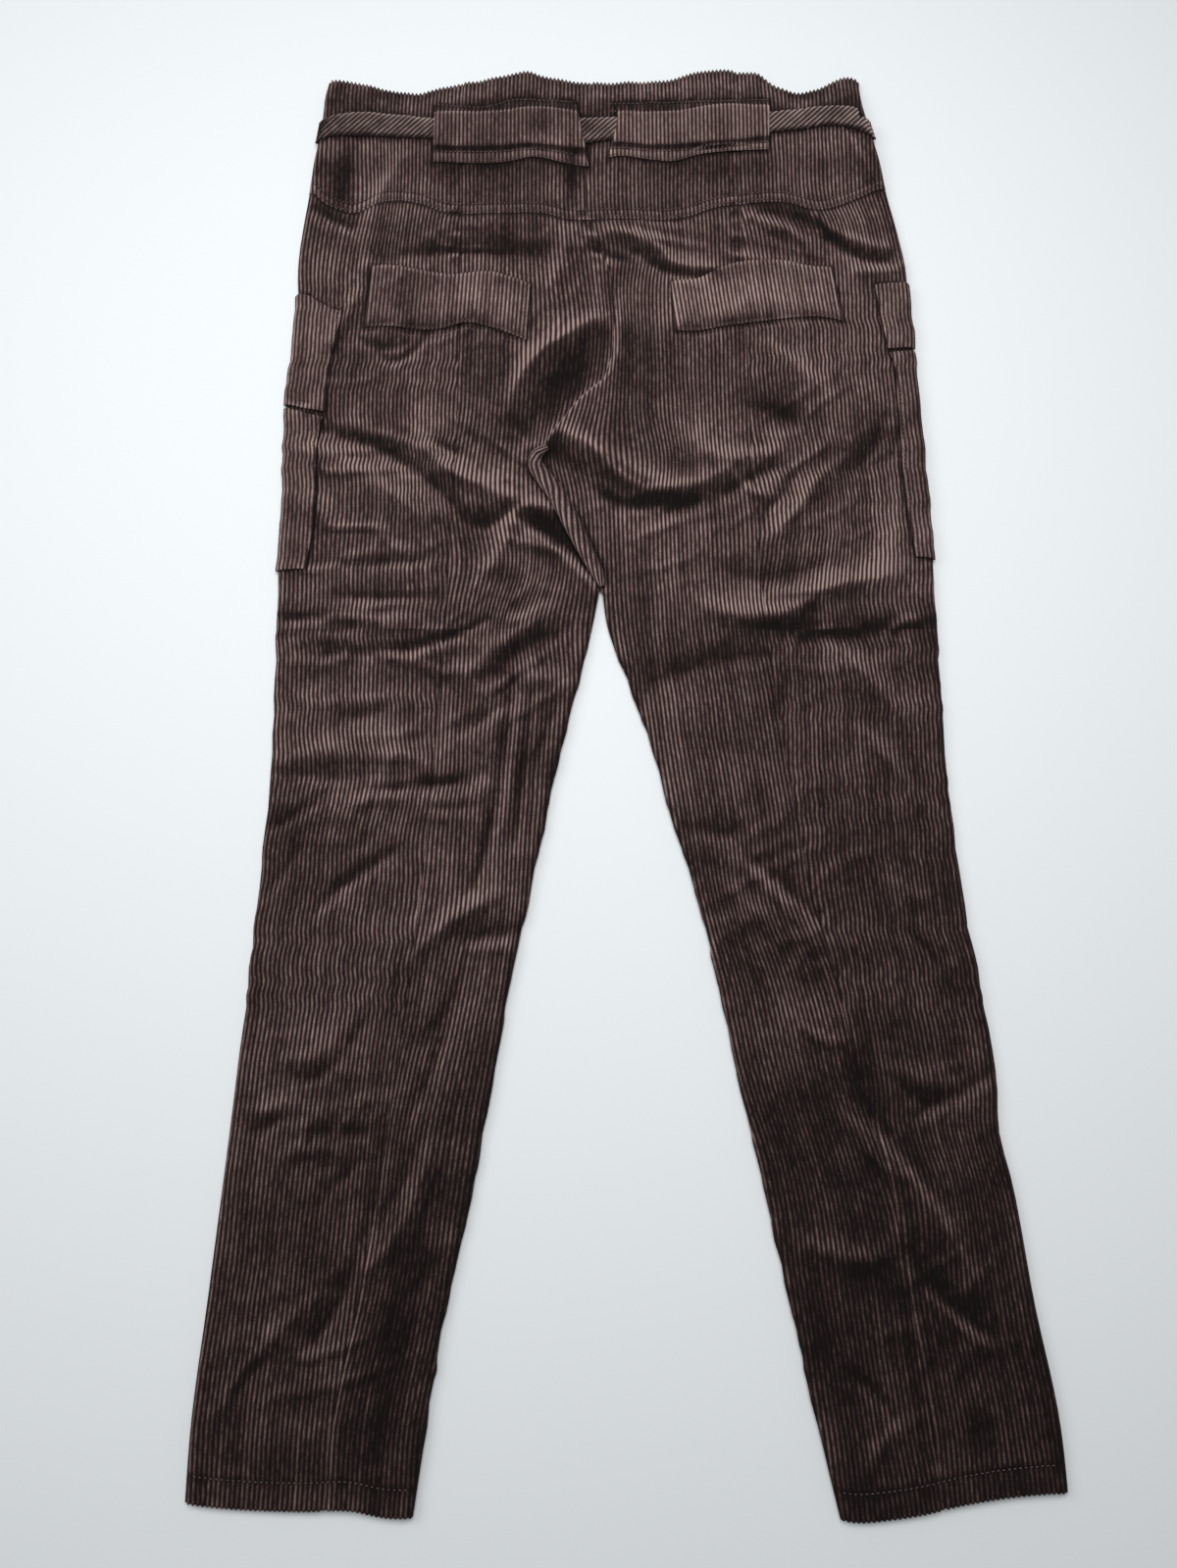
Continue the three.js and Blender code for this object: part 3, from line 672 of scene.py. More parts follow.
def patch_lift(x, y):
    """How far the side patches under the front lift it off the surface."""
    inside = np.minimum(x - along(SEAMS["outer_left"], y), along(SEAMS["outer_right"], y) - x)
    across = 1 - smooth((inside - 44) / 24)
    return (PATCH_WALL + SEAM_GAP) * across * smooth((y - 600) / 24) * (1 - smooth((y - 910) / 24))


def roll_over(past_edge, depth, share):
    """Share of the height that the cloth has reached at a distance inside an edge: a quarter ellipse."""
    turned = np.sqrt(np.clip(1 - (1 - np.clip(past_edge / depth, 0, 1)) ** 2, 0, 1))
    return 1 - share * (1 - turned)


def edge_turn(x, y, side, inset=0.0):
    """How far up the cloth is between a side's middle height and its full height."""
    outward = -1 if side == "left" else 1
    outer = outward * (along(SEAMS[f"outer_{side}"], y) - x) - inset
    inner = outward * (x - along(SEAMS[f"inner_{side}"], np.minimum(y, CROTCH))) - inset
    below = 1 - smooth((y - CROTCH) / CROTCH_FADE)
    return roll_over(outer, ROLL, 1.0) * roll_over(inner, ROLL, below)


def back_surface(x, y, side, outwards=0.0, yoke=False):
    """The back's cloth at a distance outwards from its outer surface."""
    lift = belt_lift(y) if yoke else patch_lift(x, y)
    high = back_height(x, y, yoke) + (YOKE_STEP + belt_lift(y) if yoke else 0.0)
    seam = (high + lift) / 2 + SEAM_GAP / 2
    return seam + (high - seam + outwards) * edge_turn(x, y, side, np.maximum(0.0, -outwards))


def front_surface(x, y, side, outwards=0.0, yoke=False):
    """The front's cloth at a distance outwards (downwards) from its underside."""
    high = back_height(x, y, yoke) + (YOKE_STEP + belt_lift(y) if yoke else 0.0)
    low = belt_lift(y) if yoke else np.maximum(patch_lift(x, y), np.maximum(0, high - LOOSE))
    seam = (high + (belt_lift(y) if yoke else patch_lift(x, y))) / 2 - SEAM_GAP / 2
    return seam - (seam - low + outwards) * edge_turn(x, y, side, np.maximum(0.0, -outwards))


class Patch:
    """A stretch of cloth whose mesh columns follow its ribs and end at its seams.

    Column lines come from lines(w, y), with w the distance across from the reference line. In each row
    the first and last columns that lie outside the cloth are moved onto its left and right edges, and
    columns further out fold into them, so the grid keeps its edges and has no slivers.
    """

    def __init__(self, lines, rows, left, right, across, per_rib):
        count = int(math.ceil((across[1] - across[0]) / RIB * per_rib)) + 1
        w = across[0] + np.arange(count) * RIB / per_rib
        guess = np.array([row(0.5 * (across[0] + across[1])) for row in rows], float)
        y = np.broadcast_to(guess, (count, len(rows))).copy()
        for _ in range(4):
            x = lines(w[:, None], y)
            y = np.stack([row(x[:, j]) for j, row in enumerate(rows)], axis=1)
        x = lines(w[:, None], y)
        low, high = left(y), right(y)
        inside = (x > low + 0.05) & (x < high - 0.05)
        first = np.clip(inside.argmax(0) - 1, 0, count - 1)
        last = np.clip(count - inside[::-1].argmax(0), 0, count - 1)
        j = np.arange(len(rows))
        for ends, edge in ((first, left), (last, right)):
            for _ in range(3):
                x[ends, j] = edge(y[ends, j])
                y[ends, j] = [row(x[e, r]) for r, (row, e) in enumerate(zip(rows, ends))]
        self.x, self.y, self.w = x, y, w
        self.first, self.last = first, last
        self.per_rib = per_rib
        self.shape = x.shape

    def rib(self):
        """Rib profile of each column, 0 in the groove and 1 on the crest, half way up at cut edges."""
        phase = np.arange(self.shape[0]) / self.per_rib
        wave = 0.5 - 0.5 * np.cos(2 * np.pi * phase)
        profile = np.repeat(wave[:, None] ** 0.8, self.shape[1], axis=1)
        j = np.arange(self.shape[1])
        profile[self.first, j] = 0.4
        profile[self.last, j] = 0.4
        return profile

    def ids(self):
        """Vertex index of each grid place, folded into the edge columns."""
        i = np.clip(np.arange(self.shape[0])[:, None], self.first, self.last)
        return i * self.shape[1] + np.arange(self.shape[1])

    def faces(self):
        """Quads where all four corners differ, triangles where a column has folded away."""
        n = self.ids()
        a, b, c, d = (q.ravel() for q in (n[:-1, :-1], n[1:, :-1], n[1:, 1:], n[:-1, 1:]))
        flat_low, flat_high = a == b, d == c
        whole = ~flat_low & ~flat_high
        quads = np.stack([a, b, c, d], 1)[whole]
        upper = np.stack([a, c, d], 1)[flat_low & ~flat_high]
        lower = np.stack([a, b, d], 1)[~flat_low & flat_high]
        return quads, np.concatenate([upper, lower])

    def edge_loop(self, column, row):
        return self.ids()[column, row]


def shell_mesh(name, patch, outer, inner_patch, inner, nap):
    """A closed shell from a fine outer grid and a plainer inner grid whose columns are some of the fine
    ones. Strips close it along its sides, and polygons along its first and last rows."""
    fine = np.stack([patch.x, patch.y, outer], -1).reshape(-1, 3)
    plain = np.stack([inner_patch.x, inner_patch.y, inner], -1).reshape(-1, 3)
    base = len(fine)
    quads, triangles = patch.faces()
    inner_quads, inner_triangles = (block + base for block in inner_patch.faces())
    n, m = patch.ids(), inner_patch.ids() + base
    j = np.arange(patch.shape[1] - 1)
    sides = []
    for grid_first, inner_first, turned in ((n[0], m[0], False), (n[-1], m[-1], True)):
        strip = np.stack([grid_first[j], grid_first[j + 1], inner_first[j + 1], inner_first[j]], 1)
        sides.append(strip[:, ::-1] if turned else strip)
    ratio = patch.per_rib // inner_patch.per_rib
    ends = []
    for row, turned in ((0, False), (patch.shape[1] - 1, True)):
        low, high = patch.first[row], patch.last[row]
        k_low, k_high = inner_patch.first[row], inner_patch.last[row]
        for k in range(k_low, k_high):
            start = low if k == k_low else k * ratio
            stop = high if k + 1 == k_high else (k + 1) * ratio
            ring = [m[k, row], m[k + 1, row], *n[start:stop + 1, row][::-1]]
            ends.append(ring[::-1] if turned else ring)
    blocks = [quads, triangles, inner_quads[:, ::-1], inner_triangles[:, ::-1], *sides]
    verts = np.concatenate([fine, plain])
    used = np.unique(np.concatenate([block.ravel() for block in blocks]))
    renumber = np.full(len(verts), -1)
    renumber[used] = np.arange(len(used))
    polygons = [face for block in blocks for face in renumber[block].tolist()]
    polygons += [renumber[ring].tolist() for ring in ends]
    mesh = bpy.data.meshes.new(name)
    mesh.from_pydata(metres(verts[used]).tolist(), [], polygons)
    mesh.update()
    write_rib_map(mesh, patch, inner_patch, used)
    write_painted_light_and_nap(mesh, np.concatenate([nap.ravel(), np.full(len(plain), 0.4)])[used])
    mesh.shade_smooth()
    return mesh


def write_rib_map(mesh, patch, inner_patch, used):
    """UV map in ribs: u counts ribs across, v runs along them at the same scale."""
    maps = []
    for grid in (patch, inner_patch):
        u = np.repeat(grid.w[:, None], grid.shape[1], axis=1)
        j = np.arange(grid.shape[1])
        for ends, step in ((grid.first, 1), (grid.last, -1)):
            beside = np.clip(ends + step, 0, grid.shape[0] - 1)
            u[ends, j] = u[beside, j] + (grid.x[ends, j] - grid.x[beside, j])
        maps.append(np.stack([(u - grid.w[0]) / RIB, grid.y / RIB], -1).reshape(-1, 2))
    uv = np.concatenate(maps)[used]
    corners = np.empty(len(mesh.loops), np.int32)
    mesh.loops.foreach_get("vertex_index", corners)
    layer = mesh.uv_layers.new(name="ribs")
    layer.data.foreach_set("uv", uv[corners].astype(np.float32).ravel())


def write_painted_light_and_nap(mesh, values):
    """Writes the nap attribute: painted highlight and painted shade together with the pile's own tone at each
    point, 0.5 on flat cloth.
    """
    layer = mesh.attributes.new("nap", "FLOAT", "POINT")
    layer.data.foreach_set("value", values.astype(np.float32))


# Direction from which the nap attribute's painted light falls: slopes facing it are painted lighter, slopes turned
# away darker
LIGHT_ACROSS = -0.16
LIGHT_ALONG = 0.98


# The rolled inseam that shows between the crotch and the fork of the legs. Columns: x, y, radius.
INSEAM_ROLL = [
    (-56, 744, 2.6), (-63, 739, 4.2), (-65, 731, 5.2), (-58.5, 719, 6.0), (-50, 707, 6.4), (-42, 691, 6.4),
    (-33, 673, 6.0), (-24, 655, 5.2), (-16.5, 639, 3.8), (-14, 632, 2.2),
]
ROLL_PATH = np.array(sorted(INSEAM_ROLL, key=lambda place: place[1]))[:-1]


def outside_of(shape, x, y):
    """Distance outside a piece bounded by four lines, negative within it."""
    across = np.maximum(along(shape["left"], y) - x, x - along(shape["right"], y))
    upright = np.maximum(along(shape["bottom"], x) - y, y - along(shape["top"], x))
    return np.maximum(across, upright)


def edge_shade(name, x, y):
    """Painted shade beside the edges of pieces lying on the cloth, along the yoke seam, beside the belt and the
    inseam roll, on the frill above the belt and above the tunnels' folded edges; painted highlight along the
    pieces' own rims, the seat's lip, the yoke's stitch band and the tunnels' folded edges; lighter along the
    princess seams low on the legs and on the tunnels' sewn strips; belt a little lighter, side patches a little
    darker.
    """
    shade = 0.0 * x
    if name.startswith("cloth_back"):
        over = [*PATCHES.values()]
        for patch in SIDE_PATCHES.values():
            outer = SEAMS[f"outer_{patch['side']}"]
            sides = (outer, patch["inner"]) if patch["side"] == "left" else (patch["inner"], outer)
            over.append({**patch, "left": sides[0], "right": sides[1]})
        # painted shade along the yoke seam where the yoke laps over the legs
        shade = shade - 0.40 * np.exp(-(((along(ACROSS["yoke_seam"], x) - y) / 1.9) ** 2))
    elif name.startswith("cloth_yoke_back"):
        over = [*TUNNELS.values()]
        # painted shade beside both edges of the belt
        past = np.maximum(along(ACROSS["belt_bottom"], x) - y, y - along(ACROSS["belt_top"], x))
        shade = shade - 0.40 * np.exp(-((np.maximum(0, past) / 2.4) ** 2))
        # painted highlight along the yoke seam and on the band between its stitch rows
        above = y - along(ACROSS["yoke_seam"], x)
        shade = shade + 0.12 * np.exp(-(((above - 1.0) / 1.0) ** 2))
        shade = shade + 0.09 * smooth(above / 1.5) * (1 - smooth((above - 8.5) / 2.5))
        # painted shade on the frill above the belt
        shade = shade - 0.14 * smooth((y - along(ACROSS["belt_top"], x)) / 4)
    else:
        over = []
    if name.startswith("cloth_back"):
        # painted shade beside the inseam roll, painted highlight along the crest of the seat's lip
        beside = np.abs(x - np.interp(y, ROLL_PATH[:, 1], ROLL_PATH[:, 0])) - np.interp(
            y, ROLL_PATH[:, 1], ROLL_PATH[:, 2])
        crest = np.exp(-(((y - along(SEAT_LIP, x) - 1.5) / 2.6) ** 2))
        shade = shade + 0.30 * crest * smooth((x + 50) / 14) * (1 - smooth((x - 20) / 40))
        near = smooth((y - 628) / 10) * (1 - smooth((y - 738) / 14))
        shade = shade - 0.42 * near * np.exp(-((np.maximum(0, beside) / 3.4) ** 2))
        for seam in ("princess_left", "princess_right"):
            away = np.abs(x - along(SEAMS[seam], y))
            low = 1 - smooth((y - 190) / 60)
            shade = shade + 0.16 * low * np.exp(-(((away - 1.6) / 1.6) ** 2))
    # painted shade beside the edges of the pieces lying on this cloth
    for shape in over:
        shade = shade - 0.45 * np.exp(-((np.maximum(0, outside_of(shape, x, y)) / 2.0) ** 2))
    # painted highlight along the piece's own rims
    own = {**PATCHES, **TUNNELS}.get(name.removeprefix("cloth_"))
    if own is not None:
        shade = shade + 0.16 * np.exp(-(((outside_of(own, x, y) + 1.2) / 1.3) ** 2))
    # tunnels: painted shade on the strip above the folded edge, painted highlight along that edge, lighter on the
    # sewn strip below
    if name.startswith("cloth_tunnel"):
        past = y - along(ACROSS["tunnel_high"], x)
        shade = shade - 0.30 * smooth((past - 1.4) / 1.4) + 0.20 * np.exp(-(((past + 0.4) / 1.1) ** 2))
        shade = shade + 0.12 * (1 - smooth((y - along(ACROSS["tunnel_low"], x)) / 2))
    if name == "cloth_tie_belt":
        shade = shade + 0.03
    if name.startswith("cloth_side"):
        shade = shade - 0.03
    return shade


def nap_and_painted_light(patch, z, name, sewn):
    """Nap attribute, mostly painted light: painted highlight on slopes of the unribbed surface facing the light
    and on fold crests;
    painted shade on slopes turned away, in fold troughs, along stitch rows and towards the hems and the lower
    right; the edges' painted shade and highlight; random blotches, streaks along the ribs, and the table's patches
    of brushed pile and of painted shade and highlight."""
    x, y = patch.x, patch.y
    along_y = np.gradient(z, axis=1) / (np.gradient(y, axis=1) + 1e-6)
    step = patch.per_rib
    across = np.zeros_like(z)
    dx = x[2 * step:] - x[:-2 * step]
    across[step:-step] = (z[2 * step:] - z[:-2 * step]) / np.where(np.abs(dx) < 0.2, 1e6, dx)
    # painted highlight on slopes that face the light of LIGHT_ACROSS and LIGHT_ALONG, painted shade on slopes
    # turned away
    facing = -(along_y * LIGHT_ALONG + across * LIGHT_ACROSS)
    nap = 0.5 + 0.42 * np.tanh(3.4 * facing)
    nap += 0.06 * value_noise(x, y, 52, SEED + 5) + 0.07 * value_noise(x, y, 19, SEED + 6)
    nap += 0.09 * value_noise(patch.w[:, None] + 0 * y, y / 14, 4.2, SEED + 7)
    # patches of brushed pile, and of painted shade in hollows and painted highlight on raised cloth
    for cx, cy, reach_x, reach_y, turn, light in BRUSHED_AND_SHADED:
        c, s = math.cos(math.radians(turn)), math.sin(math.radians(turn))
        u, v = (x - cx) * c + (y - cy) * s, (y - cy) * c - (x - cx) * s
        nap += light * np.exp(-((u / reach_x) ** 2) - (v / reach_y) ** 2)
    # painted shade: darker towards the hems and on the lower right leg
    clear_of_hem_shade = smooth((y + 60) / 780)
    nap -= 0.23 * (1 - clear_of_hem_shade) + 0.09 * smooth((x + 40) / 120) * (1 - smooth((y - 420) / 260))
    # painted shade and highlight at edges from edge_shade, and painted shade along the stitch rows
    nap += edge_shade(name, x, y) - 0.24 * (1 - sewn)
    # painted highlight on fold crests, painted shade in fold troughs
    if "front" not in name:
        nap += 0.045 * np.clip(fold_relief(x, y), -4, 4)
    return np.clip(nap, 0, 1)


def add_cloth(name, lines, rows, left, right, across, surface, wall, per_rib=STEPS_PER_RIB,
              serrated=(), press=None, down=False):
    """Makes one piece of ribbed cloth. surface(x, y, outwards) gives heights, wall its thickness; cloth
    that faces down has its ribs' crests on its underside."""
    patch = Patch(lines, rows, left, right, across, per_rib)
    inner_patch = Patch(lines, rows, left, right, across, 1)
    rib = patch.rib()
    base = surface(patch.x, patch.y, 0.0)
    rows_pressed = 1.0 if press is None else press(patch.x, patch.y)
    nap = nap_and_painted_light(patch, base, name, rows_pressed)
    to_side = np.minimum(patch.x - left(patch.y), right(patch.y) - patch.x)
    pressed = (0.3 + 0.7 * smooth(to_side / 2.4)) * rows_pressed
    if down:
        outer = base + RIB_HEIGHT * (1 - rib)
    else:
        outer = base + RIB_HEIGHT * (rib - 0.5) * pressed - 0.8 * (1 - pressed)
    thickness = wall(inner_patch.y, inner_patch.x) if callable(wall) else wall
    inner = surface(inner_patch.x, inner_patch.y, -thickness)
    for row, outward in serrated:
        patch.y[:, row] += outward * (rib[:, row] - 0.5)
    mesh = shell_mesh(name, patch, outer, inner_patch, inner, nap)
    if down:
        mesh.flip_normals()
    return bpy.data.objects.new(name, mesh)


def join_halves(name, halves):
    """One piece of an upper and an under shell, whose own objects and meshes go."""
    whole = bmesh.new()
    for half in halves:
        whole.from_mesh(half.data)
        bpy.data.meshes.remove(half.data)
    joined = bpy.data.meshes.new(name)
    whole.to_mesh(joined)
    whole.free()
    joined.shade_smooth()
    return bpy.data.objects.new(name, joined)


def hex_colour(code):
    """Turns an sRGB hex value to linear light."""
    parts = [int(code[k:k + 2], 16) / 255 for k in (1, 3, 5)]
    linear = [p / 12.92 if p <= 0.04045 else ((p + 0.055) / 1.055) ** 2.4 for p in parts]
    return (*linear, 1.0)


def add_node(tree, kind, settings=None, inputs=None, links=None):
    """Adds a node with its settings, its inputs' values, and links into its inputs."""
    node = tree.nodes.new(kind)
    for key, value in (settings or {}).items():
        setattr(node, key, value)
    for key, value in (inputs or {}).items():
        node.inputs[key].default_value = value
    for key, source in (links or {}).items():
        tree.links.new(source, node.inputs[key])
    return node


def fill_ramp(node, stops):
    """Sets a colour ramp's stops. Columns: place, sRGB hex."""
    ramp = node.color_ramp
    while len(ramp.elements) < len(stops):
        ramp.elements.new(0.5)
    for element, (place, code) in zip(ramp.elements, stops):
        element.position = place
        element.color = hex_colour(code)


def corduroy_material(name, stops):
    """Brushed cotton corduroy: a matt pile in ribs, nearly black in the grooves by painted shade, streaked where
    the nap parts and clumps, lighter and darker by the painted highlight and painted shade of the nap attribute,
    with a soft sheen where the pile is seen from its side."""
    material = bpy.data.materials.new(name)
    material.use_nodes = True
    tree = material.node_tree
    tree.nodes.clear()
    ribs = add_node(tree, "ShaderNodeUVMap", {"uv_map": "ribs"}).outputs["UV"]
    place = add_node(tree, "ShaderNodeTexCoord").outputs["Object"]
    across = add_node(tree, "ShaderNodeSeparateXYZ", links={0: ribs}).outputs["X"]
    turn = add_node(tree, "ShaderNodeMath", {"operation": "MULTIPLY"}, {1: 2 * math.pi}, {0: across})
    wave = add_node(tree, "ShaderNodeMath", {"operation": "COSINE"}, links={0: turn.outputs[0]})
    # painted shade in the grooves: they hold a quarter of the pile's lightness, crests a little more than all of
    # it
    depth = add_node(tree, "ShaderNodeMath", {"operation": "MULTIPLY_ADD"}, {1: -0.46, 2: 0.69},
                     {0: wave.outputs[0]})
    # clumps of pile, about 2 mm across and 7 mm along a rib
    stretched = add_node(tree, "ShaderNodeMapping", inputs={"Scale": (1.5, 0.45, 1.0)}, links={"Vector": ribs})
    clump = add_node(tree, "ShaderNodeTexNoise", inputs={"Scale": 1.0, "Detail": 2.0, "Roughness": 0.6},
                     links={"Vector": stretched.outputs[0]})
    # single tufts, about 0.8 mm
    tuft = add_node(tree, "ShaderNodeTexNoise", inputs={"Scale": 4.0, "Detail": 2.0, "Roughness": 0.65},
                    links={"Vector": ribs})
    # worn and brushed areas, about 25 mm
    area = add_node(tree, "ShaderNodeTexNoise", inputs={"Scale": 40.0, "Detail": 3.0}, links={"Vector": place})
    # the nap attribute holds painted highlight and painted shade from slopes, edges and creases, with the pile's
    # own tone
    nap = add_node(tree, "ShaderNodeAttribute", {"attribute_name": "nap"}).outputs["Fac"]
    pile_and_painted_light = add_node(tree, "ShaderNodeMath", {"operation": "MULTIPLY"}, {1: 0.95}, {0: nap})
    # Columns: pattern, how much it lightens the pile
    for pattern, share in ((clump, 0.70), (tuft, 0.78), (area, 0.22)):
        pile_and_painted_light = add_node(tree, "ShaderNodeMath", {"operation": "MULTIPLY_ADD"}, {1: share},
                         {0: pattern.outputs["Fac"], 2: pile_and_painted_light.outputs[0]})
    pile = add_node(tree, "ShaderNodeMapRange", inputs={"From Min": 0.79, "From Max": 1.71},
                    links={"Value": pile_and_painted_light.outputs[0]})
    level = add_node(tree, "ShaderNodeMath", {"operation": "MULTIPLY"},
                     links={0: pile.outputs[0], 1: depth.outputs[0]})
    colour = add_node(tree, "ShaderNodeValToRGB", links={"Fac": level.outputs[0]})
    fill_ramp(colour, stops)
    bump = add_node(tree, "ShaderNodeBump", inputs={"Strength": 0.5, "Distance": 0.0004},
                    links={"Height": tuft.outputs["Fac"]})
    shader = add_node(tree, "ShaderNodeBsdfPrincipled",
                      inputs={"Roughness": 0.92, "Specular IOR Level": 0.15, "Sheen Weight": 0.12,
                              "Sheen Roughness": 0.45, "Sheen Tint": hex_colour("#a58f8a")},
                      links={"Base Color": colour.outputs["Color"], "Normal": bump.outputs["Normal"]})
    out = add_node(tree, "ShaderNodeOutputMaterial")
    tree.links.new(shader.outputs[0], out.inputs["Surface"])
    return material


BROWN_STOPS = ((0.0, "#080505"), (0.15, "#170e0d"), (0.3, "#2c1f1e"), (0.45, "#443432"), (0.6, "#5a4946"),
               (0.75, "#705e5a"), (1.0, "#94807b"))
REVERSED_STOPS = ((0.0, "#0e0909"), (0.15, "#211615"), (0.3, "#3a2c2a"), (0.45, "#51403e"), (0.6, "#675551"),
                  (0.75, "#7b6864"), (1.0, "#9a857f"))
BIAS_STOPS = ((0.0, "#0a0707"), (0.15, "#1c1312"), (0.3, "#332826"), (0.45, "#4f413e"), (0.6, "#665754"),
              (0.75, "#7c6c68"), (1.0, "#9c8b85"))

corduroy = corduroy_material("brushed cotton corduroy", BROWN_STOPS)
corduroy_reversed = corduroy_material("corduroy with its nap reversed", REVERSED_STOPS)
corduroy_bias = corduroy_material("corduroy cut on the bias", BIAS_STOPS)


def thread_material():
    """Spun polyester sewing thread: a tight twist with a low gloss."""
    material = bpy.data.materials.new("spun sewing thread")
    material.use_nodes = True
    tree = material.node_tree
    shader = tree.nodes["Principled BSDF"]
    place = add_node(tree, "ShaderNodeTexCoord").outputs["Object"]
    twist = add_node(tree, "ShaderNodeTexNoise", inputs={"Scale": 1500.0}, links={"Vector": place})
    colour = add_node(tree, "ShaderNodeValToRGB", links={"Fac": twist.outputs["Fac"]})
    fill_ramp(colour, ((0.3, "#423532"), (0.7, "#76665f")))
    tree.links.new(colour.outputs["Color"], shader.inputs["Base Color"])
    shader.inputs["Roughness"].default_value = 0.7
    return material


thread = thread_material()


def seam_across(name, shift=0.0):
    """A line across the garment as a row of a patch."""
    return lambda x: along(ACROSS[name], x) + shift


def leg_row(level):
    """A row of a leg: the hem's line at the bottom, the yoke seam's at the top, straight between."""
    near_hem = 1 - smooth((level - 30) / 90)
    near_seam = smooth((level - 850) / 112)
    return lambda x: (level + near_hem * (along(ACROSS["hem"], x) - 6)
                      + near_seam * (along(ACROSS["yoke_seam"], x) - SEAM_GAP / 2 - 962))


def between(low, high, share):
    """A row part of the way between two lines across."""
    return lambda x: low(x) * (1 - share) + high(x) * share


def leg_levels(step_low, step_high):
    hem = 6 + HEM_STITCH
    fixed = [6, 8, 12, 17, hem - 1.2, hem, hem + 1.2, hem + 4]
    low = np.arange(hem + 8, 600, step_low)
    high = np.linspace(600, 962, int(362 / step_high))
    return [*fixed, *low, *high]


def yoke_rows(stitches, steps):
    """Rows of a yoke: close together round the stitches above its seam, then even up to its top."""
    near = sorted({0.0, *(d + side for d in stitches for side in (-1.0, 0.0, 1.0)), 5.5, 14.0})
    rows = [seam_across("yoke_seam", SEAM_GAP / 2 + d) for d in near]
    low, high = seam_across("yoke_seam", near[-1]), seam_across("top")
    return rows + [between(low, high, k / steps) for k in range(1, steps + 1)]


def ribs_beside(name):
    """Rib lines at set distances from a seam, wandering a little as the cloth has been pulled about."""
    def line(w, y):
        x = along(SEAMS[name], y) + w
        x = x + 1.5 * value_noise(w, y, 78, SEED + 15) + 0.5 * value_noise(w, y, 26, SEED + 16)
        for cx, cy, reach_x, reach_y, shift in PULLED:
            x = x + shift * np.exp(-(((x - cx) / reach_x) ** 2) - ((y - cy) / reach_y) ** 2)
        return x
    return line


def seam_line(name, shift=0.0):
    return lambda y: along(SEAMS[name], y) + shift


def inner_line(side, shift=0.0):
    """The inner edge of a half: the leg's inseam, and above the crotch the centre seam."""
    return lambda y: shift + np.where(
        y > CROTCH, along(SEAMS["centre"], y), along(SEAMS[f"inner_{side}"], np.minimum(y, CROTCH)))


def seam_dip(x, y):
    """The cloth sinks a little along its sewn seams."""
    dip = 0.0
    for name, deep in (("princess_left", 0.75), ("princess_right", 0.75), ("centre", 0.5)):
        away = x - along(SEAMS[name], y)
        dip = dip + deep * np.exp(-((away / 1.7) ** 2)) * (1.0 if name != "centre" else y > CROTCH)
        allowance = np.exp(-(((away + 5) / 5) ** 2)) * smooth((y - 880) / 30)
        dip = dip + 1.0 * allowance * value_noise(away / 2.2, y, 4.5, SEED + 18)
    return dip


def stitch_press(lines):
    """Ribs are pressed flat along rows of stitches; gives 0 on a row and 1 away from it."""
    def press(x, y):
        flat = np.ones(np.broadcast(x, y).shape)
        for line in lines:
            flat = flat * (1 - np.exp(-(((y - line(x)) / 1.3) ** 2)))
        return flat
    return press


def hem_wall(y, x):
    return np.where(y - along(ACROSS["hem"], x) < HEM_DEPTH, HEM_WALL, WALL)


pieces = {}


def keep(name, piece, material, slot, flat, area=None, rests_on=("back_left_outer",), with_pieces=()):
    """Gives a piece its finish and lets it ride and stand for its node."""
    bpy.context.scene.collection.objects.link(piece)
    piece.data.materials.append(material)
    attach(piece, "root")
    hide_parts(name)
    pieces[name] = piece


def cut_area(left, right, low, high):
    """Flat area of a panel between two edges, in square metres."""
    y = np.linspace(low, high, 200)
    return float(np.mean(right(y) - left(y)) * (high - low)) * 1e-6


def yoke_cut(left, right):
    """Flat width and length of a yoke panel, and its area, in metres."""
    x = np.linspace(float(left(990.0)), float(right(990.0)), 60)
    tall = along(ACROSS["top"], x) - along(ACROSS["yoke_seam"], x)
    wide = float(x[-1] - x[0])
    return (wide * 1e-3, float(tall.max()) * 1e-3), float(tall.mean()) * wide * 1e-6


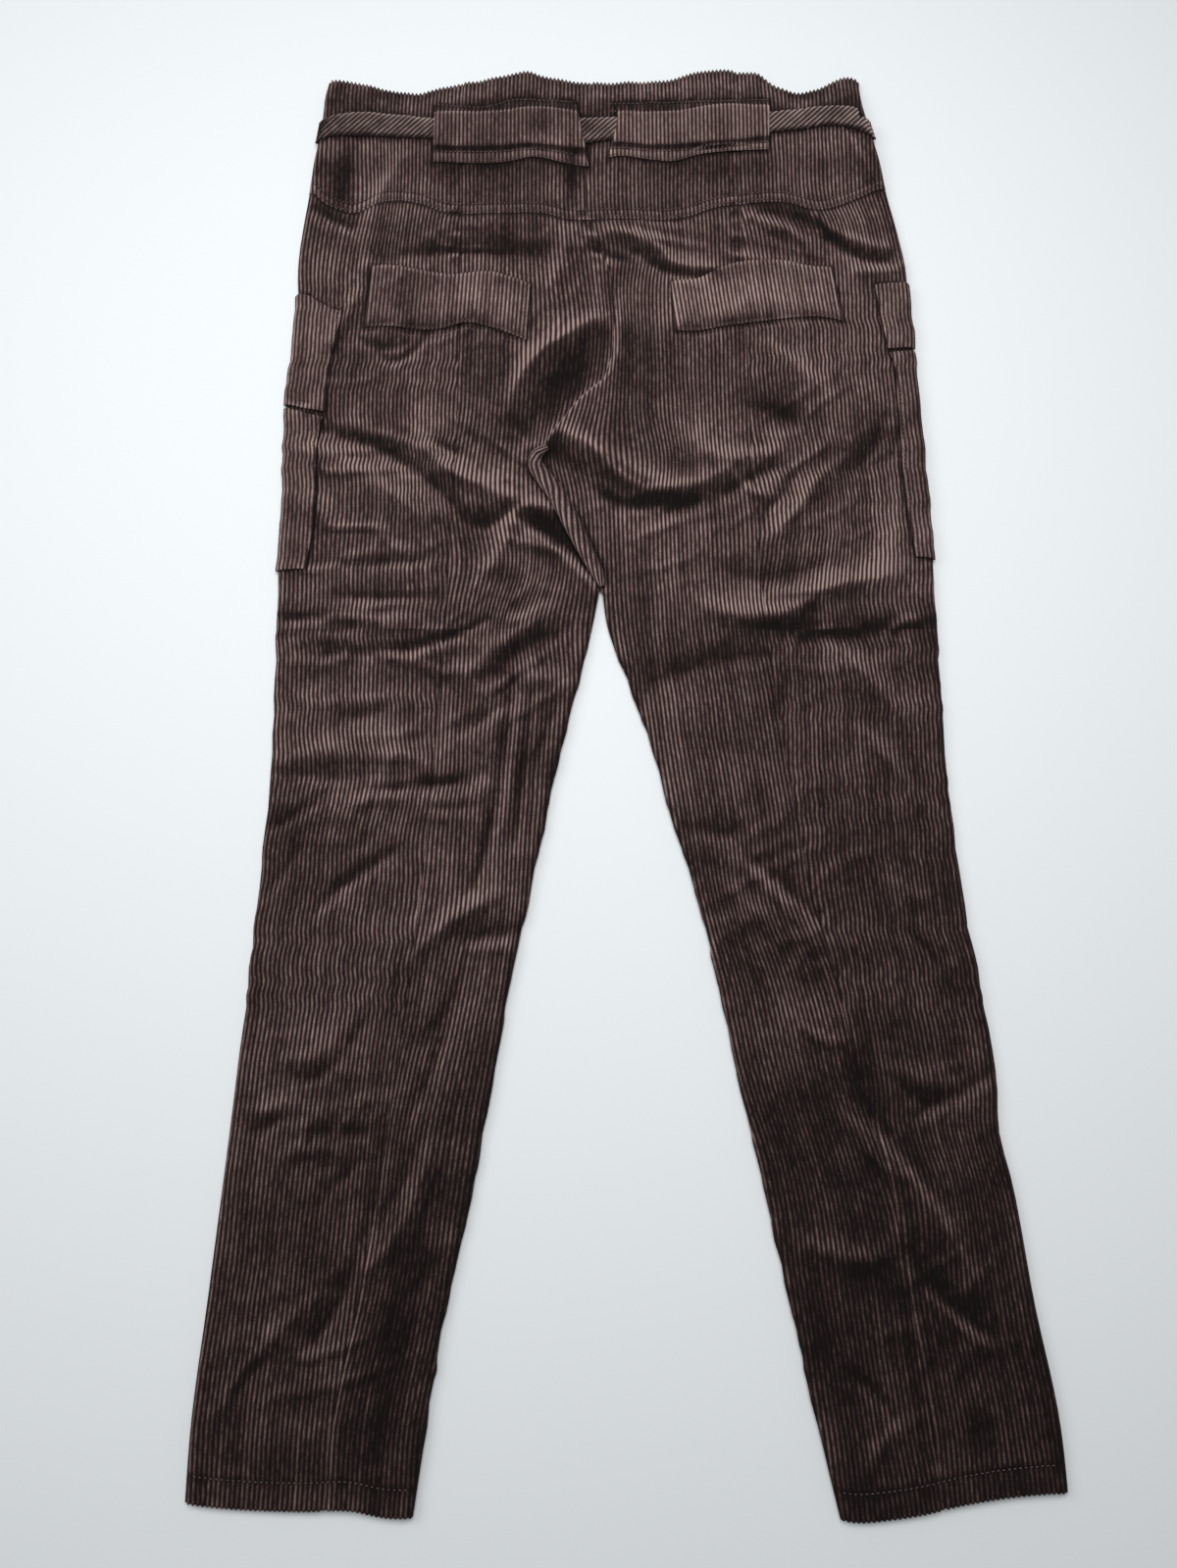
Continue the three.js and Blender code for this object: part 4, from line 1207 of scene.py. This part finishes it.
def build_legs():
    """Four back panels and two fronts. Columns: part, reference seam, reach across, left edge, right edge."""
    gap = SEAM_GAP / 2
    rows = [leg_row(level) for level in leg_levels(3.6, 2.8)]
    front_rows = [leg_row(level) for level in leg_levels(14, 9)]
    press = stitch_press([seam_across("hem", HEM_STITCH)])
    panels = (
        ("back_left_outer", "left", "outer_left", (-3, 142), seam_line("outer_left"),
         seam_line("princess_left", -gap)),
        ("back_left_inner", "left", "princess_left", (-3, 132), seam_line("princess_left", gap),
         inner_line("left", -gap)),
        ("back_right_inner", "right", "princess_right", (-178, 3), inner_line("right", gap),
         seam_line("princess_right", -gap)),
        ("back_right_outer", "right", "outer_right", (-146, 3), seam_line("princess_right", gap),
         seam_line("outer_right")),
    )
    for name, side, reference, across, left, right in panels:
        def surface(x, y, outwards):
            return back_surface(x, y, side, outwards) - seam_dip(x, y)
        piece = add_cloth(f"cloth_{name}", ribs_beside(reference), rows, left, right, across,
                          surface, hem_wall, serrated=[(0, -0.9)], press=press)
        area = cut_area(left, right, 8, 960)
        keep(name, piece, corduroy, "corduroy", (area / 0.955 / 0.8, 0.965), area,
             [name.replace("back", "front").rsplit("_", 1)[0]],
             ["inseam_roll", "topstitching"] if name == "back_left_inner" else [])
    fronts = (
        ("front_left", "left", (-152, 132), seam_line("outer_left"), inner_line("left", -gap)),
        ("front_right", "right", (-178, 138), inner_line("right", gap), seam_line("outer_right")),
    )
    for name, side, across, left, right in fronts:
        reference = f"princess_{side}"
        piece = add_cloth(f"cloth_{name}", ribs_beside(reference), front_rows, left, right,
                          across, lambda x, y, o: front_surface(x, y, side, o), hem_wall, per_rib=2,
                          serrated=[(0, -0.9)], down=True)
        area = cut_area(left, right, 8, 960)
        keep(name, piece, corduroy, "corduroy", (area / 0.955 / 0.8, 0.965), area, ["the surface below"])


def build_yokes():
    """Back yokes lap over the legs by their step; front yokes lie over the belt's hidden stretch."""
    gap = SEAM_GAP / 2
    rows = yoke_rows(YOKE_STITCHES, 24)
    front_rows = yoke_rows((), 14)
    press = stitch_press([seam_across("yoke_seam", d) for d in YOKE_STITCHES])
    panels = (
        ("yoke_back_left_side", "left", "princess_left", (-126, 3), seam_line("outer_left"),
         seam_line("princess_left", -gap)),
        ("yoke_back_left_centre", "left", "princess_left", (-3, 110), seam_line("princess_left", gap),
         seam_line("centre", -gap)),
        ("yoke_back_right_centre", "right", "princess_right", (-130, 3), seam_line("centre", gap),
         seam_line("princess_right", -gap)),
        ("yoke_back_right_side", "right", "princess_right", (-3, 126), seam_line("princess_right", gap),
         seam_line("outer_right")),
    )
    for name, side, reference, across, left, right in panels:
        def surface(x, y, outwards):
            return back_surface(x, y, side, outwards, yoke=True) - seam_dip(x, y)
        piece = add_cloth(f"cloth_{name}", ribs_beside(reference), rows, left, right, across,
                          surface, YOKE_WALL, serrated=[(len(rows) - 1, 1.8)], press=press)
        keep(name, piece, corduroy, "corduroy", *yoke_cut(left, right),
             [name.replace("back", "front").rsplit("_", 1)[0]])
    fronts = (
        ("yoke_front_left", "left", (-126, 110), seam_line("outer_left"), seam_line("centre", -gap)),
        ("yoke_front_right", "right", (-130, 126), seam_line("centre", gap), seam_line("outer_right")),
    )
    for name, side, across, left, right in fronts:
        reference = f"princess_{side}"
        piece = add_cloth(f"cloth_{name}", ribs_beside(reference), front_rows, left, right,
                          across, lambda x, y, o: front_surface(x, y, side, o, yoke=True), YOKE_WALL,
                          per_rib=2, serrated=[(len(front_rows) - 1, 1.1)], down=True)
        keep(name, piece, corduroy, "corduroy", *yoke_cut(left, right), ["cloth_tie_belt"])


def over_back(x, y, outwards, yoke=False):
    """Height of what lies on the back at a distance outwards, turning down round both sides."""
    lift = belt_lift(y) if yoke else patch_lift(x, y)
    high = back_height(x, y, yoke) + (YOKE_STEP + belt_lift(y) if yoke else 0.0)
    seam = (high + lift) / 2
    turned = 1.0
    for outward, name in ((-1, "outer_left"), (1, "outer_right")):
        past = outward * (along(SEAMS[name], y) - x) + outwards
        turned = turned * roll_over(past, ROLL + outwards, 1.0)
    return seam + (high - seam + outwards) * turned


def under_front(x, y, outwards, yoke=False):
    """The same under the front."""
    high = back_height(x, y, yoke) + (YOKE_STEP + belt_lift(y) if yoke else 0.0)
    low = belt_lift(y) if yoke else patch_lift(x, y)
    seam = (high + low) / 2
    turned = 1.0
    for outward, name in ((-1, "outer_left"), (1, "outer_right")):
        past = outward * (along(SEAMS[name], y) - x) + outwards
        turned = turned * roll_over(past, ROLL + outwards, 1.0)
    return seam - (seam - low + outwards) * turned


def build_pockets():
    """Patch pockets: open along the top, where they stand off a little, sewn down at sides and bottom."""
    leans = {"pocket_back_left": 0.06, "pocket_back_right": -0.12}
    for name, shape in PATCHES.items():
        top, bottom = (lambda x, t=shape[k]: along(t, x) for k in ("top", "bottom"))
        left, right = (lambda y, t=shape[k]: along(t, y) for k in ("left", "right"))
        middle = 0.5 * (shape["left"][0][1] + shape["right"][0][1])
        side = "left" if middle < 0 else "right"
        lean = leans[name]

        def surface(x, y, outwards):
            inside = np.minimum(np.minimum(x - left(y), right(y) - x), y - bottom(x))
            puffed = 0.9 * smooth(inside / 9) + 0.7 * smooth((y - top(x) + 16) / 16) * smooth(inside / 12)
            dented = 0.5 * value_noise(x, y, 30, SEED + 8)
            return back_surface(x, y, side) + 1.55 + puffed * (1 + dented) + outwards

        rows = [between(bottom, top, s) for s in (0, 0.02, 0.045, 0.08, *np.linspace(0.13, 0.93, 12), 0.97, 1)]
        press = stitch_press([lambda x: bottom(x) + 1.6])
        piece = add_cloth(f"cloth_{name}", lambda w, y: middle + w + lean * (y - 875), rows, left, right,
                          (-82, 82), surface, 1.2, serrated=[(len(rows) - 1, 0.5)], press=press)
        width = (right(875.0) - left(875.0)) / 1000
        keep(name, piece, corduroy_reversed, "corduroy_nap_reversed", (float(width), 0.058),
             rests_on=[f"back_{side}_outer"])


def build_side_patches():
    """Patches over the side seam: one shell on the back and one under the front, meeting at the side."""
    high = 0.45 + PATCH_WALL
    for name, shape in SIDE_PATCHES.items():
        side = shape["side"]
        outward = -1 if side == "left" else 1
        top, bottom = (lambda x, t=shape[k]: along(t, x) for k in ("top", "bottom"))
        inner = lambda y: along(shape["inner"], y)
        outer = lambda y: along(SEAMS[f"outer_{side}"], y) + outward * high
        left, right = (outer, inner) if side == "left" else (inner, outer)
        across = (-5, 46) if side == "left" else (-46, 5)
        steps = int((top(inner(800.0)) - bottom(inner(800.0))) / 6)
        rows = [between(bottom, top, s) for s in (0, 0.012, 0.03, *np.linspace(0.06, 0.95, steps), 0.98, 1)]
        halves = []
        for surface, down in ((over_back, False), (under_front, True)):
            def height(x, y, outwards):
                crumple = 0.35 * value_noise(x, y, 9, SEED + 9)
                gap = PATCH_WALL + 0.05 if down else high
                return surface(x, y, gap + outwards) + (0 if down else crumple)
            half = add_cloth(f"cloth_{name}", lambda w, y: along(SEAMS[f"outer_{side}"], y) + w, rows, left, right,
                             across, height, PATCH_WALL - 0.3, per_rib=4 if not down else 2, down=down)
            halves.append(half)
        piece = join_halves(f"cloth_{name}", halves)
        tall = float(top(inner(800.0)) - bottom(inner(800.0))) / 1000
        wide = 2 * abs(float(inner(0.5 * (shape["inner"][0][0] + shape["inner"][-1][0])) - outer(800.0))) / 1000
        keep(name, piece, corduroy_reversed, "corduroy_nap_reversed", (wide + 0.004, tall),
             rests_on=[f"back_{side}_outer"])


def build_belt():
    """A flat bias-cut band all round the waist; its ribs run slanting across it."""
    high = 0.45 + BELT_THICK
    bottom, top = seam_across("belt_bottom"), seam_across("belt_top")
    shares = (0, 0.05, 0.14, 0.3, 0.5, 0.7, 0.86, 0.95, 1)
    rows = [between(bottom, top, s) for s in shares]
    slanted = lambda w, y: w * math.sqrt(2) + (y - 1034)
    left = lambda y: along(SEAMS["outer_left"], y) - high
    right = lambda y: along(SEAMS["outer_right"], y) + high
    halves = []
    for surface, down in ((over_back, False), (under_front, True)):
        def height(x, y, outwards):
            past = np.minimum(y - bottom(x), top(x) - y)
            rounded = 0.9 * (1 - roll_over(past, 3.0, 1.0))
            bunched = 0.5 * value_noise(x, y, 26, SEED + 10) * (0 if down else 1)
            out = surface(x, y, (BELT_THICK + 0.05 if down else high) + outwards, yoke=True)
            return out + (rounded if down else bunched - rounded) * (1 if outwards == 0 else 0)
        half = add_cloth("cloth_tie_belt", slanted, rows, left, right, (-190, 165), height, BELT_THICK - 0.2,
                         per_rib=4 if not down else 2, down=down)
        halves.append(half)
    piece = join_halves("cloth_tie_belt", halves)
    keep("tie_belt", piece, corduroy_bias, "corduroy_bias", (0.9, 0.0225), rests_on=["yoke_back_left_side"])


def tunnel_rise(x, y, across):
    """How far a tunnel has risen to clear the belt: up from its sewn strip, and off a folded edge whose
    ribs' ends stand out."""
    up = smooth((y - along(ACROSS["tunnel_low"], x)) / 2.4)
    ends = 0.7 * np.cos(2 * np.pi * across / RIB)
    down = smooth((y - along(ACROSS["tunnel_high"], x) + ends) / 1.6)
    return up * (1 - down)


def build_tunnels():
    """Belt tunnels, sewn down along a strip below and above the belt and open at their ends."""
    def at(name, *places):
        return [seam_across(name, d) for d in places]

    low, high = seam_across("tunnel_low", 8), seam_across("tunnel_high", -3.4)
    rows = [
        *at("tunnel_bottom", 0, 0.6, 1.4, 2.2, 4.4, 6.6), *at("tunnel_low", -1.2, 0, 0.6, 1.2, 1.8, 2.4, 5, 8),
        *(between(low, high, k / 7) for k in range(1, 8)),
        *at("tunnel_high", -2.2, -1.4, -0.7, 0, 0.7, 1.4, 2.2), *at("tunnel_top", -3.4, -1.9, -1.2, -0.5, 0),
    ]
    stitched = (seam_across("tunnel_bottom", 1.4), seam_across("tunnel_low", -1.2),
                seam_across("tunnel_high", 2.6), seam_across("tunnel_top", -1.2))
    for name, shape in TUNNELS.items():
        side = "left" if name.endswith("left") else "right"
        left, right = (lambda y, t=shape[k]: along(t, y) for k in ("left", "right"))
        reference = f"princess_{side}"
        across = (-30, 108) if side == "left" else (-118, 32)

        def surface(x, y, outwards):
            over = (BELT_THICK + 0.9) * tunnel_rise(x, y, x - along(SEAMS[reference], y) - across[0])
            loose = 0.3 * value_noise(x, y, 22, SEED + 12)
            return back_surface(x, y, side, yoke=True) + 1.75 + over * (1 + loose) + outwards

        piece = add_cloth(f"cloth_{name}", lambda w, y: along(SEAMS[reference], y) + w, rows, left, right,
                          across, surface, 1.2, serrated=[(0, -0.5), (len(rows) - 1, 0.4)],
                          press=stitch_press(stitched))
        width = float(right(1030.0) - left(1030.0)) / 1000
        keep(name, piece, corduroy_reversed, "corduroy_nap_reversed", (width, 0.062), rests_on=["cloth_tie_belt"])


def build_inseam_roll():
    """The inseam's rolled edge: a tube along its path whose ribs wind round it."""
    table = np.array(INSEAM_ROLL, float)
    run = np.concatenate([[0], np.cumsum(np.hypot(*np.diff(table[:, :2], axis=0).T))])
    s = np.linspace(0, run[-1], 90)
    x, y, radius = (along(np.stack([run, table[:, k]], 1), s) for k in range(3))
    sides = 64
    turn = np.linspace(0, 2 * np.pi, sides, endpoint=False)
    tx, ty = np.gradient(x, s), np.gradient(y, s)
    norm = np.hypot(tx, ty)
    nx, ny = ty / norm, -tx / norm
    height = back_height(x, y) + 0.6 * radius
    winding = turn[None, :] * 8 + s[:, None] / 1.7
    r = radius[:, None] * (1 - 0.09 * np.cos(winding))
    out = r * np.cos(turn)
    grid = np.stack([x[:, None] + nx[:, None] * out, y[:, None] + ny[:, None] * out,
                     height[:, None] + 0.75 * r * np.sin(turn)], -1)
    ids = np.arange(grid.shape[0] * sides).reshape(-1, sides)
    after = np.roll(ids, -1, axis=1)
    quads = np.stack([ids[:-1], after[:-1], after[1:], ids[1:]], -1).reshape(-1, 4)
    faces = quads.tolist() + [ids[0][::-1].tolist(), ids[-1].tolist()]
    mesh = bpy.data.meshes.new("inseam_roll")
    mesh.from_pydata(metres(grid.reshape(-1, 3)).tolist(), [], faces)
    uv = np.stack([winding / (2 * np.pi), np.repeat(s[:, None] / RIB, sides, 1)], -1).reshape(-1, 2)
    corners = np.empty(len(mesh.loops), np.int32)
    mesh.loops.foreach_get("vertex_index", corners)
    mesh.uv_layers.new(name="ribs").data.foreach_set("uv", uv[corners].astype(np.float32).ravel())
    # painted highlight on the roll's upper side and painted shade underneath
    write_painted_light_and_nap(mesh, np.repeat(0.42, len(mesh.vertices)) + 0.25 * np.tile(np.sin(turn + 0.6), len(s)))
    mesh.shade_smooth()
    piece = bpy.data.objects.new("inseam_roll", mesh)
    bpy.context.scene.collection.objects.link(piece)
    mesh.materials.append(corduroy)
    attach(piece, "root")


def stitches_along(xs, ys, zs):
    """Corner points and faces of stitches laid end to end along a line: small six-sided lozenges."""
    run = np.concatenate([[0], np.cumsum(np.hypot(np.diff(xs), np.diff(ys)))])
    starts = np.arange(0.6, run[-1] - STITCH_LENGTH, STITCH_PITCH)
    ends = starts + STITCH_LENGTH
    a = np.stack([np.interp(starts, run, v) for v in (xs, ys, zs)], -1)
    b = np.stack([np.interp(ends, run, v) for v in (xs, ys, zs)], -1)
    middle = 0.5 * (a + b) + (0, 0, 0.25)
    d = b - a
    aside = np.stack([-d[:, 1], d[:, 0], 0 * d[:, 0]], -1)
    aside /= np.linalg.norm(aside, axis=1, keepdims=True)
    half = 0.5 * STITCH_WIDTH
    up = np.array([0, 0, half])
    points = np.stack([a, middle + aside * half, middle + up, middle - aside * half, middle - up, b], 1)
    pattern = np.array([[0, 1, 2], [0, 2, 3], [0, 3, 4], [0, 4, 1], [5, 2, 1], [5, 3, 2], [5, 4, 3], [5, 1, 4]])
    faces = pattern[None] + 6 * np.arange(len(starts))[:, None, None]
    return points.reshape(-1, 3), faces.reshape(-1, 3)


def build_stitching():
    """All topstitching, each row on the cloth that it holds."""
    rows = []

    def across(line, x0, x1, height):
        x = np.linspace(x0, x1, 400)
        y = line(x)
        rows.append((x, y, height(x, y)))

    def lengthwise(line, y0, y1, height):
        y = np.linspace(y0, y1, 200)
        x = line(y)
        rows.append((x, y, height(x, y)))

    def on_yoke(x, y):
        return np.where(x < 0, back_surface(x, y, "left", yoke=True), back_surface(x, y, "right", yoke=True)) - 0.2

    def on_leg(side, lift=-0.2):
        return lambda x, y: back_surface(x, y, side) + lift

    for d in YOKE_STITCHES:
        across(seam_across("yoke_seam", d), -243, 214, on_yoke)
    across(seam_across("hem", HEM_STITCH), -280, -137, on_leg("left", -0.4))
    across(seam_across("hem", HEM_STITCH), 138, 280, on_leg("right", -0.4))
    for name, shape in TUNNELS.items():
        x0, x1 = shape["left"][0][1] + 1, shape["right"][-1][1] - 1
        for line, lift in (("tunnel_bottom", 1.4), ("tunnel_low", -1.2), ("tunnel_high", 2.6),
                           ("tunnel_top", -1.2)):
            across(seam_across(line, lift), x0, x1, lambda x, y: on_yoke(x, y) + 1.75)
    for name, shape in PATCHES.items():
        side = "left" if name.endswith("left") else "right"
        bottom = lambda x, t=shape["bottom"]: along(t, x)
        x0, x1 = shape["bottom"][0][0] + 5, shape["bottom"][-1][0] - 3
        across(lambda x: bottom(x) + 1.6, x0, x1, on_leg(side, 1.35))
        across(lambda x: bottom(x) - 5.5, x0, x1, on_leg(side))
        for key, inward in (("left", 2.4), ("right", -2.4)):
            edge = lambda y, t=shape[key], d=inward: along(t, y) + d
            lengthwise(edge, shape[key][0][0] + 14, shape[key][-1][0] - 12, on_leg(side, 1.5))
    for name, shape in SIDE_PATCHES.items():
        side = shape["side"]
        inward = 1 if side == "left" else -1
        inner = lambda y, t=shape["inner"]: along(t, y)
        y0, y1 = shape["inner"][0][0] + 2, shape["inner"][-1][0] - 2
        lengthwise(lambda y: inner(y) - inward * 2.0, y0, y1, on_leg(side, 1.9))
    points, faces, base = [], [], 0
    for x, y, z in rows:
        p, f = stitches_along(x, y, z)
        points.append(p)
        faces.append(f + base)
        base += len(p)
    mesh = bpy.data.meshes.new("topstitching")
    mesh.from_pydata(metres(np.concatenate(points)).tolist(), [], np.concatenate(faces).tolist())
    mesh.shade_smooth()
    piece = bpy.data.objects.new("topstitching", mesh)
    bpy.context.scene.collection.objects.link(piece)
    mesh.materials.append(thread)
    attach(piece, "root")




def stage_and_light():
    """A pale floor, a wide soft light beyond the waist on the left, and one overhead."""
    floor_mesh = bpy.data.meshes.new("floor")
    reach = 3.0
    floor_mesh.from_pydata([(-reach, -reach, 0), (reach, -reach, 0), (reach, reach, 0), (-reach, reach, 0)],
                           [], [(0, 1, 2, 3)])
    floor = bpy.data.objects.new("floor", floor_mesh)
    floor_finish = bpy.data.materials.new("pale painted board")
    floor_finish.use_nodes = True
    board = floor_finish.node_tree.nodes["Principled BSDF"]
    board.inputs["Base Color"].default_value = hex_colour("#d8dcde")
    board.inputs["Roughness"].default_value = 0.85
    floor_mesh.materials.append(floor_finish)
    bpy.context.scene.collection.objects.link(floor)

    # Columns: name, place, size, watts
    lamps = (
        ("window", (-1.6, 0.5, 1.4), 1.0, 15),
        ("ceiling", (0.0, 0.28, 1.25), 0.8, 16),
    )
    for name, place, size, watts in lamps:
        lamp = bpy.data.lights.new(name, "AREA")
        lamp.size = size
        lamp.energy = watts
        holder = bpy.data.objects.new(name, lamp)
        holder.location = place
        down = place[2]
        aside = math.hypot(place[0], place[1]) if name == "window" else 0.0
        holder.rotation_euler = (math.atan2(aside, down), 0, math.atan2(-place[0], place[1]) + math.pi)
        bpy.context.scene.collection.objects.link(holder)
    world = bpy.data.worlds.new("studio")
    world.use_nodes = True
    world.node_tree.nodes["Background"].inputs["Color"].default_value = hex_colour("#f7f9f9")
    world.node_tree.nodes["Background"].inputs["Strength"].default_value = 0.27
    bpy.context.scene.world = world
    bpy.context.scene.view_settings.view_transform = "Standard"


def photo_camera():
    camera = bpy.data.cameras.new("photo camera")
    camera.sensor_width = 36
    camera.lens = 36 * FOCAL_SHARE
    holder = bpy.data.objects.new("photo camera", camera)
    holder.location = (CAMERA_PLACE[0] / 1000, CAMERA_PLACE[1] / 1000, CAMERA_HEIGHT / 1000)
    holder.rotation_euler = (CAMERA_TILT, 0, 0)
    bpy.context.scene.collection.objects.link(holder)
    bpy.context.scene.camera = holder


photo_camera()
stage_and_light()
build_inseam_roll()
build_stitching()
build_legs()
build_yokes()
build_pockets()
build_side_patches()
build_belt()
build_tunnels()
